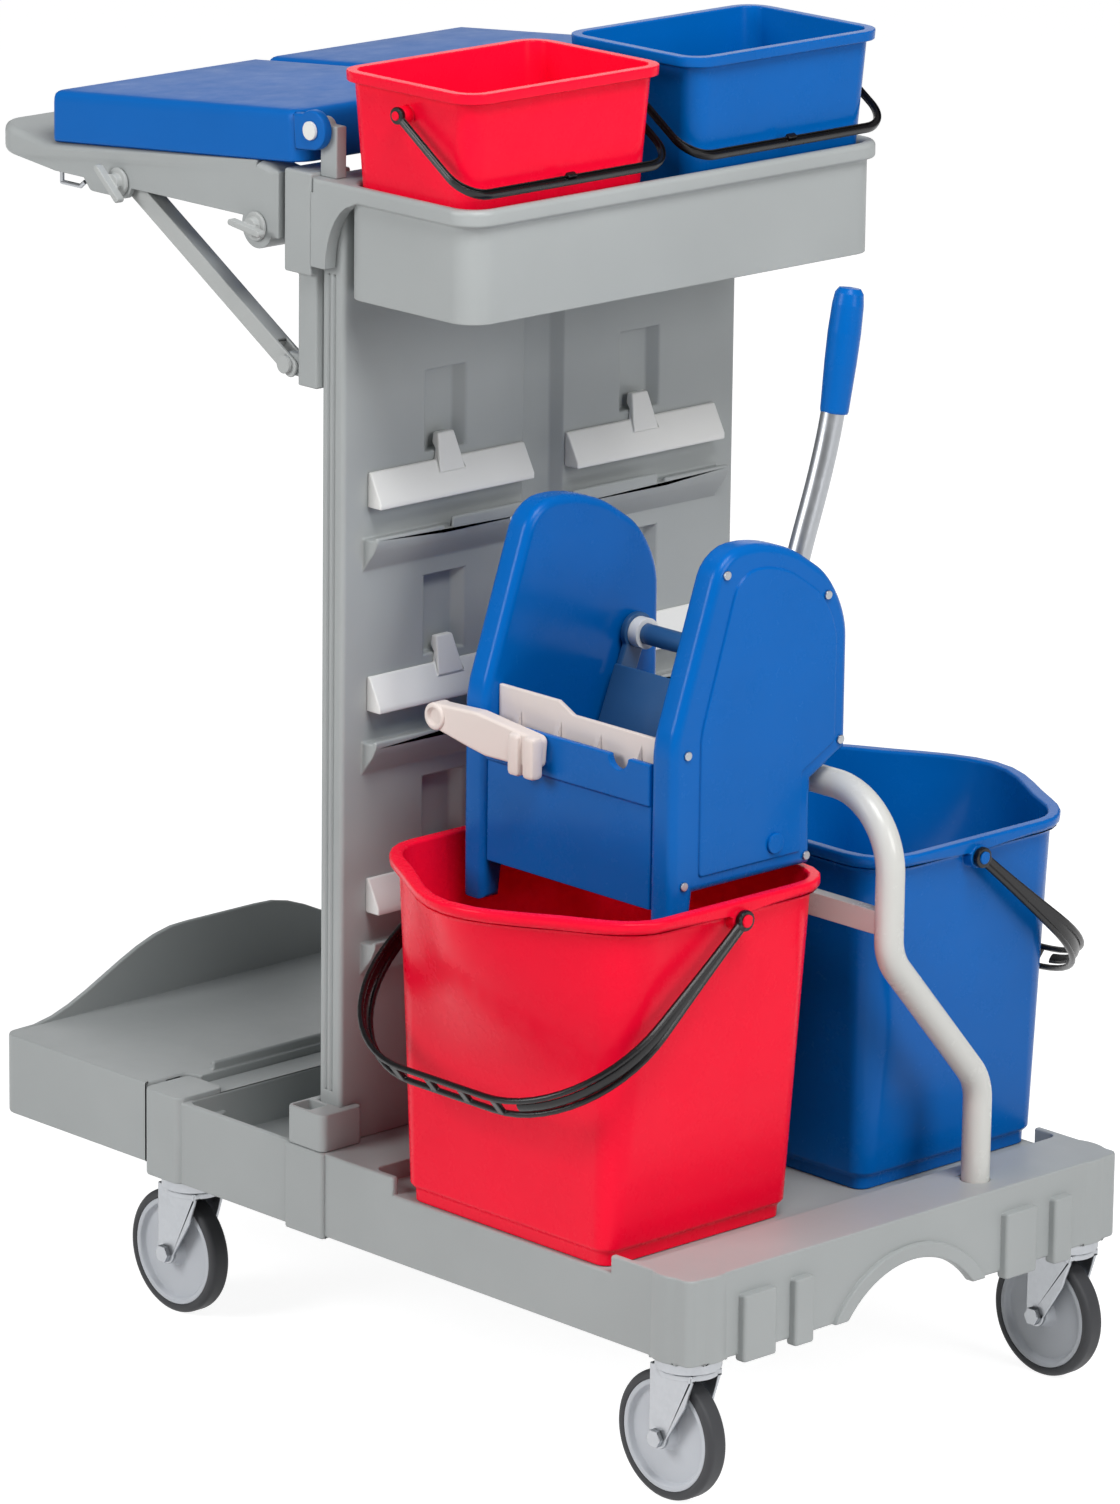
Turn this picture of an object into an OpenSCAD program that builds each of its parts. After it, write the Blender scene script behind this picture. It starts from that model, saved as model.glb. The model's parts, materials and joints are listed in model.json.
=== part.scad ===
// Janitor cart: a moulded base on four casters carries a column with a top tray,
// a folding bag frame with lids, two large buckets with a press wringer and two small buckets.
// X runs from the bag end to the bucket end, Y across, Z up, in millimetres.
// The near side has the smaller Y, the front end is the bucket end.
// The origin lies on the floor, under the middle of the cart.

/* [Casters] */
// Diameter of a wheel over its tyre
wheel_d = 100; // [80:1:125]
// Width of a tyre
wheel_w = 20; // [16:1:32]
// Radial thickness of a tyre
tyre_t = 7; // [5:1:16]
// Diameter of an axle
axle_d = 8; // [6:1:12]
// Distance from the swivel axis back to the axle
caster_trail = 16; // [8:1:24]
// Diameter of the swivel head
head_d = 50; // [40:1:56]

/* [Base] */
// Height of the side beams
beam_h = 67; // [50:1:90]
// Thickness of the base walls
base_wall = 6; // [4:1:10]
// Depth of the bucket deck below the top of the beams
deck_drop = 14; // [8:1:24]
// Radius of the corner blocks over the casters
block_r = 30; // [28:1:34]
// Distance from the buckets to the front end of the base
end_gap = 89; // [70:1:120]
// Length of the open bay between the column and the bag platform
bay_len = 160; // [110:1:220]
// Length of the bag platform
platform_len = 190; // [120:1:260]
// Height of the bag platform
platform_h = 65; // [40:1:67]
// Rise of the hump of the platform's back wall
hump_h = 55; // [20:1:80]

/* [Column] */
// Position of the front face of the column
column_face = -10; // [-30:1:10]
// Thickness of the column panel
column_t = 25; // [20:1:40]
// Width of the column panel
column_w = 410; // [380:1:416]
// Height of the column panel above the base
column_h = 735; // [650:1:850]
// Height of the first tool rail above the base
rail_first = 164; // [140:1:190]
// Distance from one tool rail to the next
rail_pitch = 158; // [130:1:180]
// Reach of the tool rails in front of the column
rail_reach = 16; // [10:1:18]

/* [Top tray] */
// Length of the tray basin
basin_l = 141; // [110:1:170]
// Depth of the tray below its top
tray_h = 86; // [60:1:110]
// Thickness of the tray flange
flange_t = 13; // [8:1:20]
// Thickness of the tray walls
tray_wall = 4; // [3:1:6]

/* [Small buckets] */
// Length of a small bucket at its bottom, along the cart
small_l = 113; // [80:1:120]
// Width of a small bucket at its bottom, across the cart
small_w = 176; // [140:1:182]
// Height of a small bucket
small_h = 167; // [120:1:200]
// Wall of a small bucket
small_wall = 2.5; // [2:0.5:4]
// Reach of a small bail from its pivots
small_bail_reach = 91; // [84:1:110]

/* [Large buckets] */
// Length of a large bucket at its bottom, along the cart
bucket_l = 220; // [190:1:236]
// Depth of a large bucket at its bottom, across the cart
bucket_d = 191; // [170:1:210]
// Height of a large bucket
bucket_h = 270; // [230:1:300]
// Growth of a large bucket at each end from bottom to top
bucket_flare = 24; // [10:1:30]
// Bulge of the pouring side at the rim
bucket_bulge = 55; // [20:1:65]
// Wall of a large bucket
bucket_wall = 3; // [2:0.5:5]
// Distance from the middle of the cart to the buckets at the bottom
bucket_mid_gap = 38; // [36:1:60]
// Reach of a large bail from its pivots
bail_reach = 209; // [200:1:230]

/* [Press] */
// Length of the wringer over its side plates
wringer_l = 225; // [200:1:230]
// Thickness of the wringer side plates
side_t = 25; // [12:1:28]
// Height of the wringer side plates
wringer_h = 254; // [230:1:300]
// Clear height between the bucket rims and the wringer
wringer_lift = 3; // [2:1:10]
// Diameter of the stand tube
tube_d = 22; // [16:1:24]
// Height of the stand's top tube above the bucket rims
stand_rise = 60; // [50:1:70]
// Diameter of the lever tube
lever_d = 18; // [14:1:20]
// Length of the lever grip
grip_l = 90; // [70:1:120]
// Diameter of the lever grip
grip_d = 25; // [22:1:32]

/* [Bag frame] */
// Length of the bag frame from the column to the end of the handle
bag_len = 369; // [320:1:420]
// Width of a frame beam
frame_beam = 28; // [26:1:34]
// Wall of a frame beam
frame_wall = 4; // [3:1:5]
// Height of the handle of the bag frame
frame_h = 24; // [14:1:30]
// Depth of a strut
strut_h = 15; // [13:1:20]
// Length of a lid
lid_l = 290; // [240:1:300]
// Height of a lid at its sides
lid_h = 41; // [30:1:50]
// Wall of a lid
lid_wall = 2.5; // [2:0.5:4]

/* [Fits] */
// Radial clearance of pins, axles and press fits
fit = 0.05; // [0.02:0.01:0.1]
// Clearance between parts that seat on or pass each other
gap = 0.3; // [0.2:0.1:0.5]

/* [Hidden] */
$fn = 48;

// Heights of the base
caster_h = wheel_d + 16;
base_z = caster_h + 1;
base_top = base_z + beam_h;
deck_z = base_top - deck_drop;
deck_t = 6;
rim_z = deck_z + bucket_h;

// Plan of the base
foot_w = 24;
side_y = max(bucket_mid_gap + bucket_d, column_w / 2 + foot_w);
swivel_inset = 27;
swivel_y = side_y - swivel_inset;
bucket_gap_x = 98;
bucket_x = column_face + bucket_gap_x + bucket_l / 2;
base_x1 = bucket_x + bucket_l / 2 + end_gap;
column_back = column_face - column_t;
base_x0 = column_back - bay_len;
front_x = base_x1 - block_r + 2;
rear_x = base_x0 + 11;
casters = [[front_x, -swivel_y], [front_x, swivel_y], [rear_x, -swivel_y], [rear_x, swivel_y]];
recess_x0 = column_face + 60;
recess_x1 = bucket_x + bucket_l / 2 + 29;

// Column and tray
column_top = base_top + column_h;
tray_top = column_top + flange_t;
tray_y = max(column_w / 2 + 11, small_w + 40);
cheek_t = 10.5;
basin_x0 = column_face + 4;
basin_x1 = basin_x0 + basin_l;
tray_floor = tray_top - tray_h + tray_wall;
groove_w = 36;
groove_h = 9;
face_t = 13;
bay_y = column_w / 4 - 1;

// Small buckets
small_x = (basin_x0 + basin_x1) / 2 - 1.5;
small_y = tray_y - 102;
small_flare = 11;
small_rim = 6;
small_rim_z = tray_floor + gap + small_h;
small_pivot_z = small_rim_z - 24;

// Large buckets
bucket_rim = 7;
bucket_rim_h = 10;
bucket_in_flare = 12;
bucket_out_flare = 3;
pivot_z = rim_z - 14;
pivot_y = bucket_mid_gap + bucket_d / 2 - 8;
pivot_share = (pivot_z - deck_z) / bucket_h;
pivot_x = bucket_l / 2 + bucket_flare * pivot_share;
pivot_r = 5;
pivot_out = bucket_rim + 3;
bail_t = 5;
bail_w = 11;
bail_drop = 39;
small_bail_drop = 34;
bail_bend = 102;
small_bail_bend = 26;

// Wringer
wringer_z = rim_z + wringer_lift;
wringer_x0 = bucket_x - wringer_l / 2;
wringer_x1 = wringer_x0 + wringer_l;
wringer_front = -(side_y - 59);
leg_z = rim_z - 42;
stand_x = front_x - 1;
stand_rear_x = column_face + 44;
stand_z = rim_z + stand_rise;
stand_bend = 58;
foot_y = 100;
bend_r = 40;
rail_z = rim_z - 36;
tube_r = tube_d / 2;
jaw_y = -66;
jaw_z = wringer_z + 24;
bar_y = -20;
bar_z = wringer_z + 139;
bar_r = 8;
arm_t = 5;
arm_gap = 3;
arm_x0 = wringer_x0 + side_t + arm_gap;
arm_x1 = wringer_x1 - side_t - arm_gap;
lever_x = arm_x1 - arm_t - lever_d / 2 - 3;
lever_low = [bar_y, bar_z];
lever_mid = [bar_y + 21, bar_z + 86];
lever_high = [bar_y + 54, bar_z + 182];
lever_top = [bar_y + 69, bar_z + 190 + grip_l];
pin_r = 4;
screen_y = wringer_front + 13;
latch_x = wringer_x0 + 50;
latch_z = wringer_z + 88;
latch_t = 9;

// Bag frame, measured from its pivot on the brackets
hinge_drop = 33;
frame_x = column_back - 60;
frame_z = tray_top - 46;
frame_bottom = frame_z + 6;
frame_back = column_back - bag_len;
frame_out = tray_y;
frame_in = frame_out - frame_beam;
frame_end_r = 50;
hub_r = 17;
bracket_t = 30;
bracket_w = 40;
lug_t = 8;
strut_w = 14;
strut_mid = frame_out - frame_beam / 2;
strut_pin = [column_back - 35, frame_z - 102];
strut_top = [frame_x - 157, frame_z + 9];
strut_len = norm(strut_top - strut_pin);
strut_turn = atan2(strut_top[1] - strut_pin[1], strut_top[0] - strut_pin[0]);
tongue_t = 8;
screw_r = 4;
lock_x = frame_x - 158;
lid_tilt = 5.3;
hinge_x = column_back - 1;
hinge_z = tray_top + 35;
lid_w = tray_y - 3;
lid_back = 12;
lid_under = 25;
ear_t = 8;
ear_r = 15;
lid_pin_r = 5;

grey = [0.60, 0.62, 0.62];
pale_grey = [0.78, 0.79, 0.78];
white = [0.93, 0.92, 0.90];
red = [0.86, 0.07, 0.14];
blue = [0.02, 0.30, 0.62];
dark_blue = [0.05, 0.20, 0.36];
black = [0.07, 0.07, 0.08];
zinc = [0.72, 0.73, 0.74];
rubber = [0.24, 0.24, 0.25];

// Smooth step from 0 to 1
function smooth(t) = t <= 0 ? 0 : t >= 1 ? 1 : t * t * (3 - 2 * t);

// Value between a and b at share t
function mix(a, b, t) = a + (b - a) * t;

// Arc that rounds the corner b between a and c
function corner(a, b, c, r, n) =
    let (u = (a - b) / norm(a - b), v = (c - b) / norm(c - b))
    let (half = acos(u * v) / 2, s = sign(cross(b - a, c - b)))
    let (centre = b + (u + v) / norm(u + v) * r / sin(half), p = b + u * r / tan(half) - centre)
    let (start = atan2(p[1], p[0]))
    [for (i = [0:n]) centre + r * [cos(start + s * (180 - 2 * half) * i / n),
        sin(start + s * (180 - 2 * half) * i / n)]];

// Outline with rounded corners from points [x, y, radius]
function rounded(pts, n = 6) =
    let (m = len(pts))
    [for (i = [0:m - 1])
        let (a = pts[(i + m - 1) % m], b = pts[i], c = pts[(i + 1) % m])
        each b[2] == 0 ? [[b[0], b[1]]]
            : corner([a[0], a[1]], [b[0], b[1]], [c[0], c[1]], b[2], n)];

// Rectangle with round corners about the origin
module round_rect(l, w, r) {
    square([l - 2 * r, w], center = true);
    square([l, w - 2 * r], center = true);
    for (x = [-1, 1], y = [-1, 1])
        translate([x * (l / 2 - r), y * (w / 2 - r)]) circle(r);
}

// Block with upright round edges between two corners
module round_block(p, q, r) {
    translate([(p[0] + q[0]) / 2, (p[1] + q[1]) / 2, p[2]])
        linear_extrude(q[2] - p[2]) round_rect(q[0] - p[0], q[1] - p[1], r);
}

// Plain block between two corners
module block(p, q) {
    translate(p) cube(q - p);
}

// Extrusion along X of a shape drawn in Y and Z
module along_x(x0, x1) {
    translate([x0, 0, 0]) rotate([90, 0, 90]) linear_extrude(x1 - x0) children();
}

// Extrusion along Y of a shape drawn in X and Z
module along_y(y0, y1) {
    translate([0, y1, 0]) rotate([90, 0, 0]) linear_extrude(y1 - y0) children();
}

// Disc along X at a place in Y and Z
module disc_x(x0, x1, y, z, r) {
    along_x(x0, x1) translate([y, z]) circle(r);
}

// Disc along Y at a place in X and Z
module disc_y(y0, y1, x, z, r) {
    along_y(y0, y1) translate([x, z]) circle(r);
}

// Round bar between two points
module rod(p, q, r) {
    d = q - p;
    translate(p)
        rotate([0, acos(d[2] / norm(d)), atan2(d[1], d[0])])
            cylinder(h = norm(d), r = r);
}

// The same on both sides of the cart
module both_sides() {
    children();
    mirror([0, 1, 0]) children();
}

// Base frame

// Outer body of the base with its corner blocks and mid bosses
module base_body() {
    round_block([base_x0, -side_y, base_z], [base_x1, side_y, base_top], 8);
    both_sides() {
        translate([front_x, -swivel_y, caster_h]) cylinder(h = base_top - caster_h, r = block_r);
        rear_post(base_z, base_top + 4, 0);
    }
    both_sides()
        round_block([column_back - 9, -side_y - 3, base_z - 2],
            [column_face + 10, -side_y + 30, base_top], 3);
    end_ribs();
    arch_lip();
}

// Corner post over a rear caster, grown on all sides by some room
module rear_post(z0, z1, room) {
    round_block([rear_x - 25 - room, -side_y - 4 - room, z0],
        [rear_x + 18 + room, -side_y + 44 + room, z1], 8);
}

// Rib blocks on the front end, two wide and two thin ones
module end_ribs() {
    ribs = [[-162, 34], [-116, 20], [116, 34], [162, 20]];
    for (r = ribs)
        round_block([base_x1 - 4, r[0] - r[1] / 2, base_z - 5],
            [base_x1 + 7, r[0] + r[1] / 2, base_top - 20], 3);
}

arch_r = 84;
arch_rise = 33;
arch_z = base_z + arch_rise - arch_r;
lip_w = 12;

// Raised band round the arch of the front end
module arch_lip() {
    intersection() {
        disc_x(base_x1 - 2, base_x1 + 4, 0, arch_z, arch_r + lip_w);
        block([base_x1 - 2, -side_y, base_z], [base_x1 + 4, side_y, base_top]);
    }
}

// Hollow of the base from below
module base_hollow() {
    w = side_y - base_wall;
    under = deck_z - deck_t;
    round_block([column_back + base_wall, -w, 0], [base_x1 - base_wall, w, under], 8);
    round_block([base_x0 + base_wall, -w, 0], [column_back, w, bay_z - deck_t], 8);
}

bay_z = base_top - 34;

// Recesses of the base from above
module base_recess() {
    w = side_y - base_wall;
    high = base_top + 1;
    round_block([recess_x0, -w, deck_z], [recess_x1, w, high], 8);
    round_block([base_x0 + 30, -w, bay_z], [column_back - 10, w, high], 8);
    block([bucket_x - bucket_l / 2 - 12, -side_y - 1, deck_z],
        [bucket_x + bucket_l / 2 + 5, side_y + 1, high]);
}

module base_frame() {
    color(grey) difference() {
        union() {
            difference() {
                base_body();
                base_hollow();
                base_recess();
            }
            intersection() {
                for (c = casters)
                    translate([c[0], c[1], caster_h]) cylinder(h = deck_z - caster_h, r = block_r - 4);
                block([base_x0, -side_y, 0], [base_x1, side_y, base_top]);
            }
        }
        disc_x(base_x1 - 30, base_x1 + 10, 0, arch_z, arch_r);
        for (c = casters)
            translate([c[0], c[1], caster_h - 1]) cylinder(h = stem_h + 2, r = stem_r + fit);
        for (x = [stand_x, stand_rear_x], y = [foot_y])
            translate([x, y, base_top - stand_depth(x)]) cylinder(h = beam_h, r = tube_r + fit);
    }
}

stem_r = 6;
stem_h = 34;

// Depth that a stand foot sinks into the base
function stand_depth(x) = x > recess_x1 ? 10 : deck_drop;

// Bag platform

module bag_platform() {
    x0 = base_x0 - platform_len;
    top = base_top + 6;
    z0 = top - platform_h;
    wall = 5;
    color(grey) {
        difference() {
            round_block([x0, -side_y, z0], [base_x0, side_y, top], 14);
            round_block([x0 + wall, -side_y + wall, z0 - 1],
                [base_x0 - wall, side_y - wall, top - wall], 10);
            both_sides()
                rear_post(0, top + 1, gap);
        }
        along_x(x0, x0 + wall) polygon(hump_outline(top));
        block([base_x0 - 8, -side_y + 60, top - 1], [base_x0 - 3, side_y - 60, top + 7]);
    }
}

// Outline of the humped back wall
function hump_outline(z) =
    let (w = side_y - 14, n = 24)
    concat([[w, z - 4]], [[-w, z - 4]],
        [for (i = [0:n]) let (y = mix(-w, w, i / n))
            [y, z + hump_h * smooth((w - 10 - abs(y)) / 162)]]);

// Column

rail_tops = [for (i = [0:2]) base_top + rail_first + i * rail_pitch];

module column_panel() {
    half = column_w / 2;
    post = 24;
    color(grey) difference() {
        union() {
            round_block([column_back, -half, base_top], [column_face, half, column_top], 4);
            for (z = rail_tops, s = [-1, 1])
                along_y(s * bay_y - bay_y + groove_w / 2, s * bay_y + bay_y - groove_w / 2)
                    polygon(rail_outline(z));
        }
        for (s = [-1, 1], i = [0:3])
            block([column_back - 1, s * bay_y - bay_y + post, base_top + 24 + i * pocket_pitch()],
                [column_face - face_t, s * bay_y + bay_y - post, base_top + i * pocket_pitch()
                    + pocket_pitch()]);
        channel(0, base_top + 60, tray_top - tray_h - 10);
        for (s = [-1, 1], z = rail_tops)
            channel(s * bay_y, z + 50, z + rail_pitch - 46);
        for (s = [-1, 1], z = rail_tops) {
            y = s * bay_y;
            low = [y + s * 10, y + s * (bay_y - groove_w / 2 + 1)];
            block([column_face + rail_reach - 5, min(low), z - lip_drop],
                [column_face + rail_reach + 1, max(low), z + 1]);
            block([column_face + rail_reach - 5, y - 4 + s * 10, z - 9],
                [column_face + rail_reach + 1, y + 4 + s * 10, z + 1]);
        }
        for (s = [-1, 1], x = [7, 13])
            block([column_back + x, s * half - 2, base_top + 40],
                [column_back + x + 2, s * half + 2, column_top - 60]);
    }
}

function pocket_pitch() = (column_h - 24) / 4;

lip_drop = 5;

// Upright channel in the face of the column with sloping sides
module channel(y, z0, z1) {
    wide = groove_w / 2 + 4;
    narrow = groove_w / 2 - 4;
    translate([0, 0, z0]) linear_extrude(z1 - z0)
        polygon([[column_face - groove_h, y - narrow], [column_face - groove_h, y + narrow],
            [column_face + 1, y + wide], [column_face + 1, y - wide]]);
}

// Section of a tool rail with its upturned lip
function rail_outline(z) = [
    [column_face - 1, z - 34], [column_face + rail_reach - 4, z - 18], [column_face + rail_reach, z - 10],
    [column_face + rail_reach, z], [column_face + rail_reach - 4, z], [column_face + rail_reach - 4, z - 7],
    [column_face - 1, z - 8]];

module column_feet() {
    half = column_w / 2;
    color(grey) both_sides() difference() {
        round_block([column_back - 8, -side_y - 2, base_top],
            [column_face + 9, -half + 16, base_top + 30], 6);
        block([column_back - gap, -half - gap, base_top - 1], [column_face + gap, 0, base_top + 31]);
        round_block([column_back - 5, -side_y + 2, base_top + 18],
            [column_back + 14, -half - 4, base_top + 31], 2);
    }
}

// One tool clip: a sloping bar with an upright stem that narrows upwards
module tool_clip(y, z) {
    bar = 158;
    stem = 28;
    f = column_face;
    top = z + 63;
    along_y(y - bar / 2, y + bar / 2)
        polygon([[f, z + 43], [f + 3, z + 43], [f + 15, z + 21], [f + 15, z + 16], [f, z + 16]]);
    intersection() {
        along_y(y - stem / 2, y + stem / 2)
            polygon([[f - 4, top], [f + 2, top], [f + 9, z + 34], [f, z + 34], [f, z + 51],
                [f - 4, z + 55]]);
        along_x(f - 5, f + 10)
            polygon([[y - stem / 2, z + 30], [y + stem / 2, z + 30], [y + stem / 4, top],
                [y - stem / 3, top]]);
    }
}

module tool_clips() {
    color(white)
        for (s = [-1, 1], z = rail_tops)
            tool_clip(s * bay_y, z);
}

// Top tray

module top_tray() {
    y = tray_y;
    zb = tray_top - tray_h;
    color(grey) {
        difference() {
            union() {
                round_block([column_back, -y, column_top], [basin_x0 + 75, y, tray_top], 4);
                round_block([column_back + 20, -y, column_top], [basin_x1 + 5, y, tray_top], 24);
                round_block([basin_x0, -y + 5, zb], [basin_x1, y - 5, tray_top - 1], 22);
            }
            round_block([basin_x0 + tray_wall, -y + 5 + tray_wall, tray_floor],
                [basin_x1 - tray_wall, y - 5 - tray_wall, tray_top + 1], 18);
        }
        both_sides()
            along_y(-y, -y + cheek_t) polygon(cheek_outline());
    }
}

// Cheek of the tray beside the column, with its arched front edge
function cheek_outline() =
    let (x1 = column_face + 27, z0 = column_top - 54, n = 8)
    concat([[column_back, column_top + 2], [column_back, z0], [column_back + 16, z0]],
        [for (i = [0:n]) [mix(column_back + 16, x1, 1 - cos(90 * i / n)),
            mix(z0, column_top, sin(90 * i / n))]],
        [[x1, column_top + 2]]);

// Bag frame with its brackets and struts

module bag_brackets() {
    y0 = -frame_out;
    color(grey) both_sides() difference() {
        union() {
            block([column_back - bracket_t, y0, frame_z - 29], [column_back, y0 + bracket_w, tray_top + 3]);
            block([column_back - 21, y0 + 6, strut_pin[1] - 14],
                [column_back, y0 + bracket_w, frame_z - 28]);
            along_y(-frame_in + gap, -frame_in + gap + lug_t) {
                translate([frame_x, frame_z]) circle(hub_r);
                translate([frame_x, frame_z - hub_r])
                    square([column_back - bracket_t - frame_x + 1, 2 * hub_r]);
            }
            along_y(-strut_mid - tongue_t / 2, -strut_mid + tongue_t / 2) {
                translate(strut_pin) circle(9);
                translate([strut_pin[0], strut_pin[1] - 9]) square([column_back - 20 - strut_pin[0], 18]);
            }
        }
        disc_y(-frame_out, -frame_in + 20, frame_x, frame_z, screw_r + fit);
        disc_y(-strut_mid - 10, -strut_mid + 10, strut_pin[0], strut_pin[1], pin_r + fit);
    }
}

// Side view of the bag frame: level below, rising to the column above, round at the pivot
module frame_side() {
    x_end = frame_x + 25;
    x_turn = frame_back + 75;
    polygon([[frame_back - 1, frame_bottom + 5], [x_turn, frame_bottom], [frame_x, frame_bottom],
        [frame_x, frame_top(frame_x)], [handle_x, frame_top(handle_x)],
            [frame_back - 1, frame_bottom + 5 + frame_h]]);
    translate([frame_x, frame_z]) circle(hub_r);
    intersection() {
        translate([frame_x, frame_z]) circle(frame_end_r);
        translate([frame_x - 1, frame_z - 6]) square([x_end - frame_x, frame_end_r + 6]);
    }
}

// Height of the underside of the closed lids
function lid_bottom(x) = hinge_z - lid_under / cos(lid_tilt) + (x - hinge_x) * tan(lid_tilt);

// Height of the top of the frame beams
function frame_top(x) = min(lid_bottom(x) - 2 * gap, frame_z + frame_end_r);

// Whole of the frame: two hollow beams joined by the handle
module frame_body() {
    x1 = frame_x + 60;
    difference() {
        union() {
            intersection() {
                difference() {
                    round_block([frame_back, -frame_out, frame_z - 60],
                        [x1 + 60, frame_out, tray_top + 40], 24);
                    round_block([frame_back + 34, -frame_in, frame_z - 61],
                        [x1 + 80, frame_in, tray_top + 41], 20);
                }
                along_y(-frame_out, frame_out) frame_side();
            }
            both_sides()
                along_y(-frame_out, -frame_out + frame_wall)
                    polygon(rounded([[lock_x - 46, frame_bottom + 4, 0],
                    [lock_x - 34, frame_bottom - 9, 6], [lock_x + 9, frame_bottom - 9, 6],
                        [lock_x + 16, frame_bottom + 4, 0]]));
        }
        both_sides() {
            intersection() {
                block([frame_back + 48, -frame_out + frame_wall, frame_bottom - 30],
                    [frame_x - hub_r - 6, -frame_in - frame_wall, tray_top]);
                along_y(-frame_out, -frame_in)
                    polygon([[frame_back, frame_bottom - 31], [frame_x, frame_bottom - 31],
                        [frame_x, frame_top(frame_x) - frame_wall], [frame_back, frame_top(frame_back)
                            - frame_wall]]);
            }
            disc_y(-frame_out - 1, -frame_in + 1, frame_x, frame_z, screw_r + fit);
            disc_y(-frame_out - 1, -frame_out + frame_wall + 1, lock_x, frame_z + 9, screw_r + fit);
        }
    }
}

// Where the handle begins, just behind the closed lids
handle_x = hinge_x - (lid_back + lid_l) * cos(lid_tilt) - 4;

// Room that the handle takes at the end of the frame
module handle_room() {
    block([frame_back - 1, -frame_out - 1, frame_z - 60], [handle_x, frame_out + 1, tray_top + 40]);
}

module bag_frame() {
    color(grey) difference() {
        frame_body();
        handle_room();
    }
}

module bag_handle() {
    color(grey) intersection() {
        frame_body();
        handle_room();
    }
}

module bag_hooks() {
    wire = 1.8;
    x = lock_x - 70;
    y = -frame_out + frame_wall / 2;
    color(zinc) both_sides() {
        rod([x, y, frame_bottom - 8], [x, y, frame_bottom], wire);
        translate([x, y, frame_bottom - 8]) sphere(wire);
        rod([x, y, frame_bottom - 8], [x + 22, y, frame_bottom - 8], wire);
        translate([x + 22, y, frame_bottom - 8]) sphere(wire);
        rod([x + 22, y, frame_bottom - 8], [x + 27, y, frame_bottom - 4], wire);
    }
}

// One strut lying along X from its pin, open on top
module strut_bar() {
    wall = 2.5;
    difference() {
        along_y(-strut_w / 2, strut_w / 2)
            polygon(rounded([[-11, -strut_h / 2, 6], [strut_len + 9, -strut_h / 2, 6],
                [strut_len + 9, strut_h / 2, 6], [-11, strut_h / 2, 6]]));
        block([18, -strut_w / 2 + wall, -strut_h / 2 + wall],
            [strut_len + 10, strut_w / 2 - wall, strut_h]);
        block([-12, -tongue_t / 2 - gap, -strut_h], [19, tongue_t / 2 + gap, strut_h]);
        disc_y(-strut_w, strut_w, 0, 0, pin_r + fit);
    }
}

module struts() {
    color(pale_grey)
        for (s = [-1, 1])
            translate([strut_pin[0], s * strut_mid, strut_pin[1]]) rotate([0, -strut_turn, 0]) strut_bar();
}

module strut_pins() {
    head = 7;
    color(pale_grey) for (s = [-1, 1]) {
        y = s * strut_mid;
        disc_y(y - strut_w / 2 - gap, y + strut_w / 2 + gap, strut_pin[0], strut_pin[1], pin_r);
        disc_y(y - strut_w / 2 - gap - 3, y - strut_w / 2 - gap, strut_pin[0], strut_pin[1], head);
        disc_y(y + strut_w / 2 + gap, y + strut_w / 2 + gap + 3, strut_pin[0], strut_pin[1], head);
    }
}

// Wing screw whose shank points to the middle of the cart
module wing_screw(x, z, shank, turn) {
    y = -frame_out - gap;
    wing_l = 36;
    wing_w = 5;
    disc_y(y, y + shank, x, z, screw_r);
    disc_y(y - 3, y, x, z, 11);
    disc_y(y - 8, y - 3, x, z, 7);
    along_y(y - 14, y - 7) translate([x, z]) rotate(turn) round_rect(wing_l, wing_w, wing_w / 2 - 0.1);
}

pivot_shank = frame_beam + lug_t + 2 * gap;
lock_shank = frame_beam / 2 - strut_w / 2;

module pivot_screw_near() { color(pale_grey) wing_screw(frame_x, frame_z, pivot_shank, -8); }
module pivot_screw_far() { color(pale_grey) mirror([0, 1, 0])
    wing_screw(frame_x, frame_z, pivot_shank, -8); }
module lock_screw_near() { color(pale_grey) wing_screw(lock_x, frame_z + 9, lock_shank, -42); }
module lock_screw_far() { color(pale_grey) mirror([0, 1, 0])
    wing_screw(lock_x, frame_z + 9, lock_shank, -42); }

// Lids

// Ring of a lid at a depth below its top, moved out by d
function lid_ring(z, w, d) =
    bucket_ring(z, lid_l / 2 + d, -w / 2 - d, w / 2 + d, max(16 + d, 1.5), 0, max(7 + d, 1));

// Shell of a lid, drawn upside down: a low crown, round edges and drafted sides
module lid_shell(w) {
    outer = [[0, -80], [0.7, -40], [1.4, -16], [2, -8], [3, -5], [4.6, -3.4], [7, -2.4], [11, -1.8]];
    inner = [[11, -1.8], [7.4, -3.4], [5.4, -5], [4.6, -8], [3.9, -16], [3.2, -40]];
    rings = concat(
        [for (p = outer) lid_ring(p[0], w, p[1])],
        [lid_ring(lid_h, w, 0), lid_ring(lid_h, w, -lid_wall)],
        [for (p = inner) lid_ring(p[0], w, p[1] - lid_wall)]);
    ring_shell(rings);
}

// One lid with its two ears, its hinge axis at the origin before it is tilted
module lid(y0, y1) {
    translate([hinge_x, 0, hinge_z]) rotate([0, -lid_tilt, 0]) difference() {
        union() {
            translate([-lid_back - lid_l / 2, (y0 + y1) / 2, lid_h - lid_under]) mirror([0, 0, 1])
                lid_shell(y1 - y0);
            for (y = [y0 + 1, y1 - ear_t - 1])
                along_y(y, y + ear_t) {
                    circle(ear_r);
                    translate([-lid_back - 8, -ear_r]) square([lid_back + 8, 2 * ear_r - 3]);
                }
        }
        disc_y(y0 - 1, y1 + 1, 0, 0, lid_pin_r + fit);
    }
}

module lid_near() { color(blue) lid(-tray_y, -3); }
module lid_far() { color(blue) lid(3, tray_y); }

block_w = 10;

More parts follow.
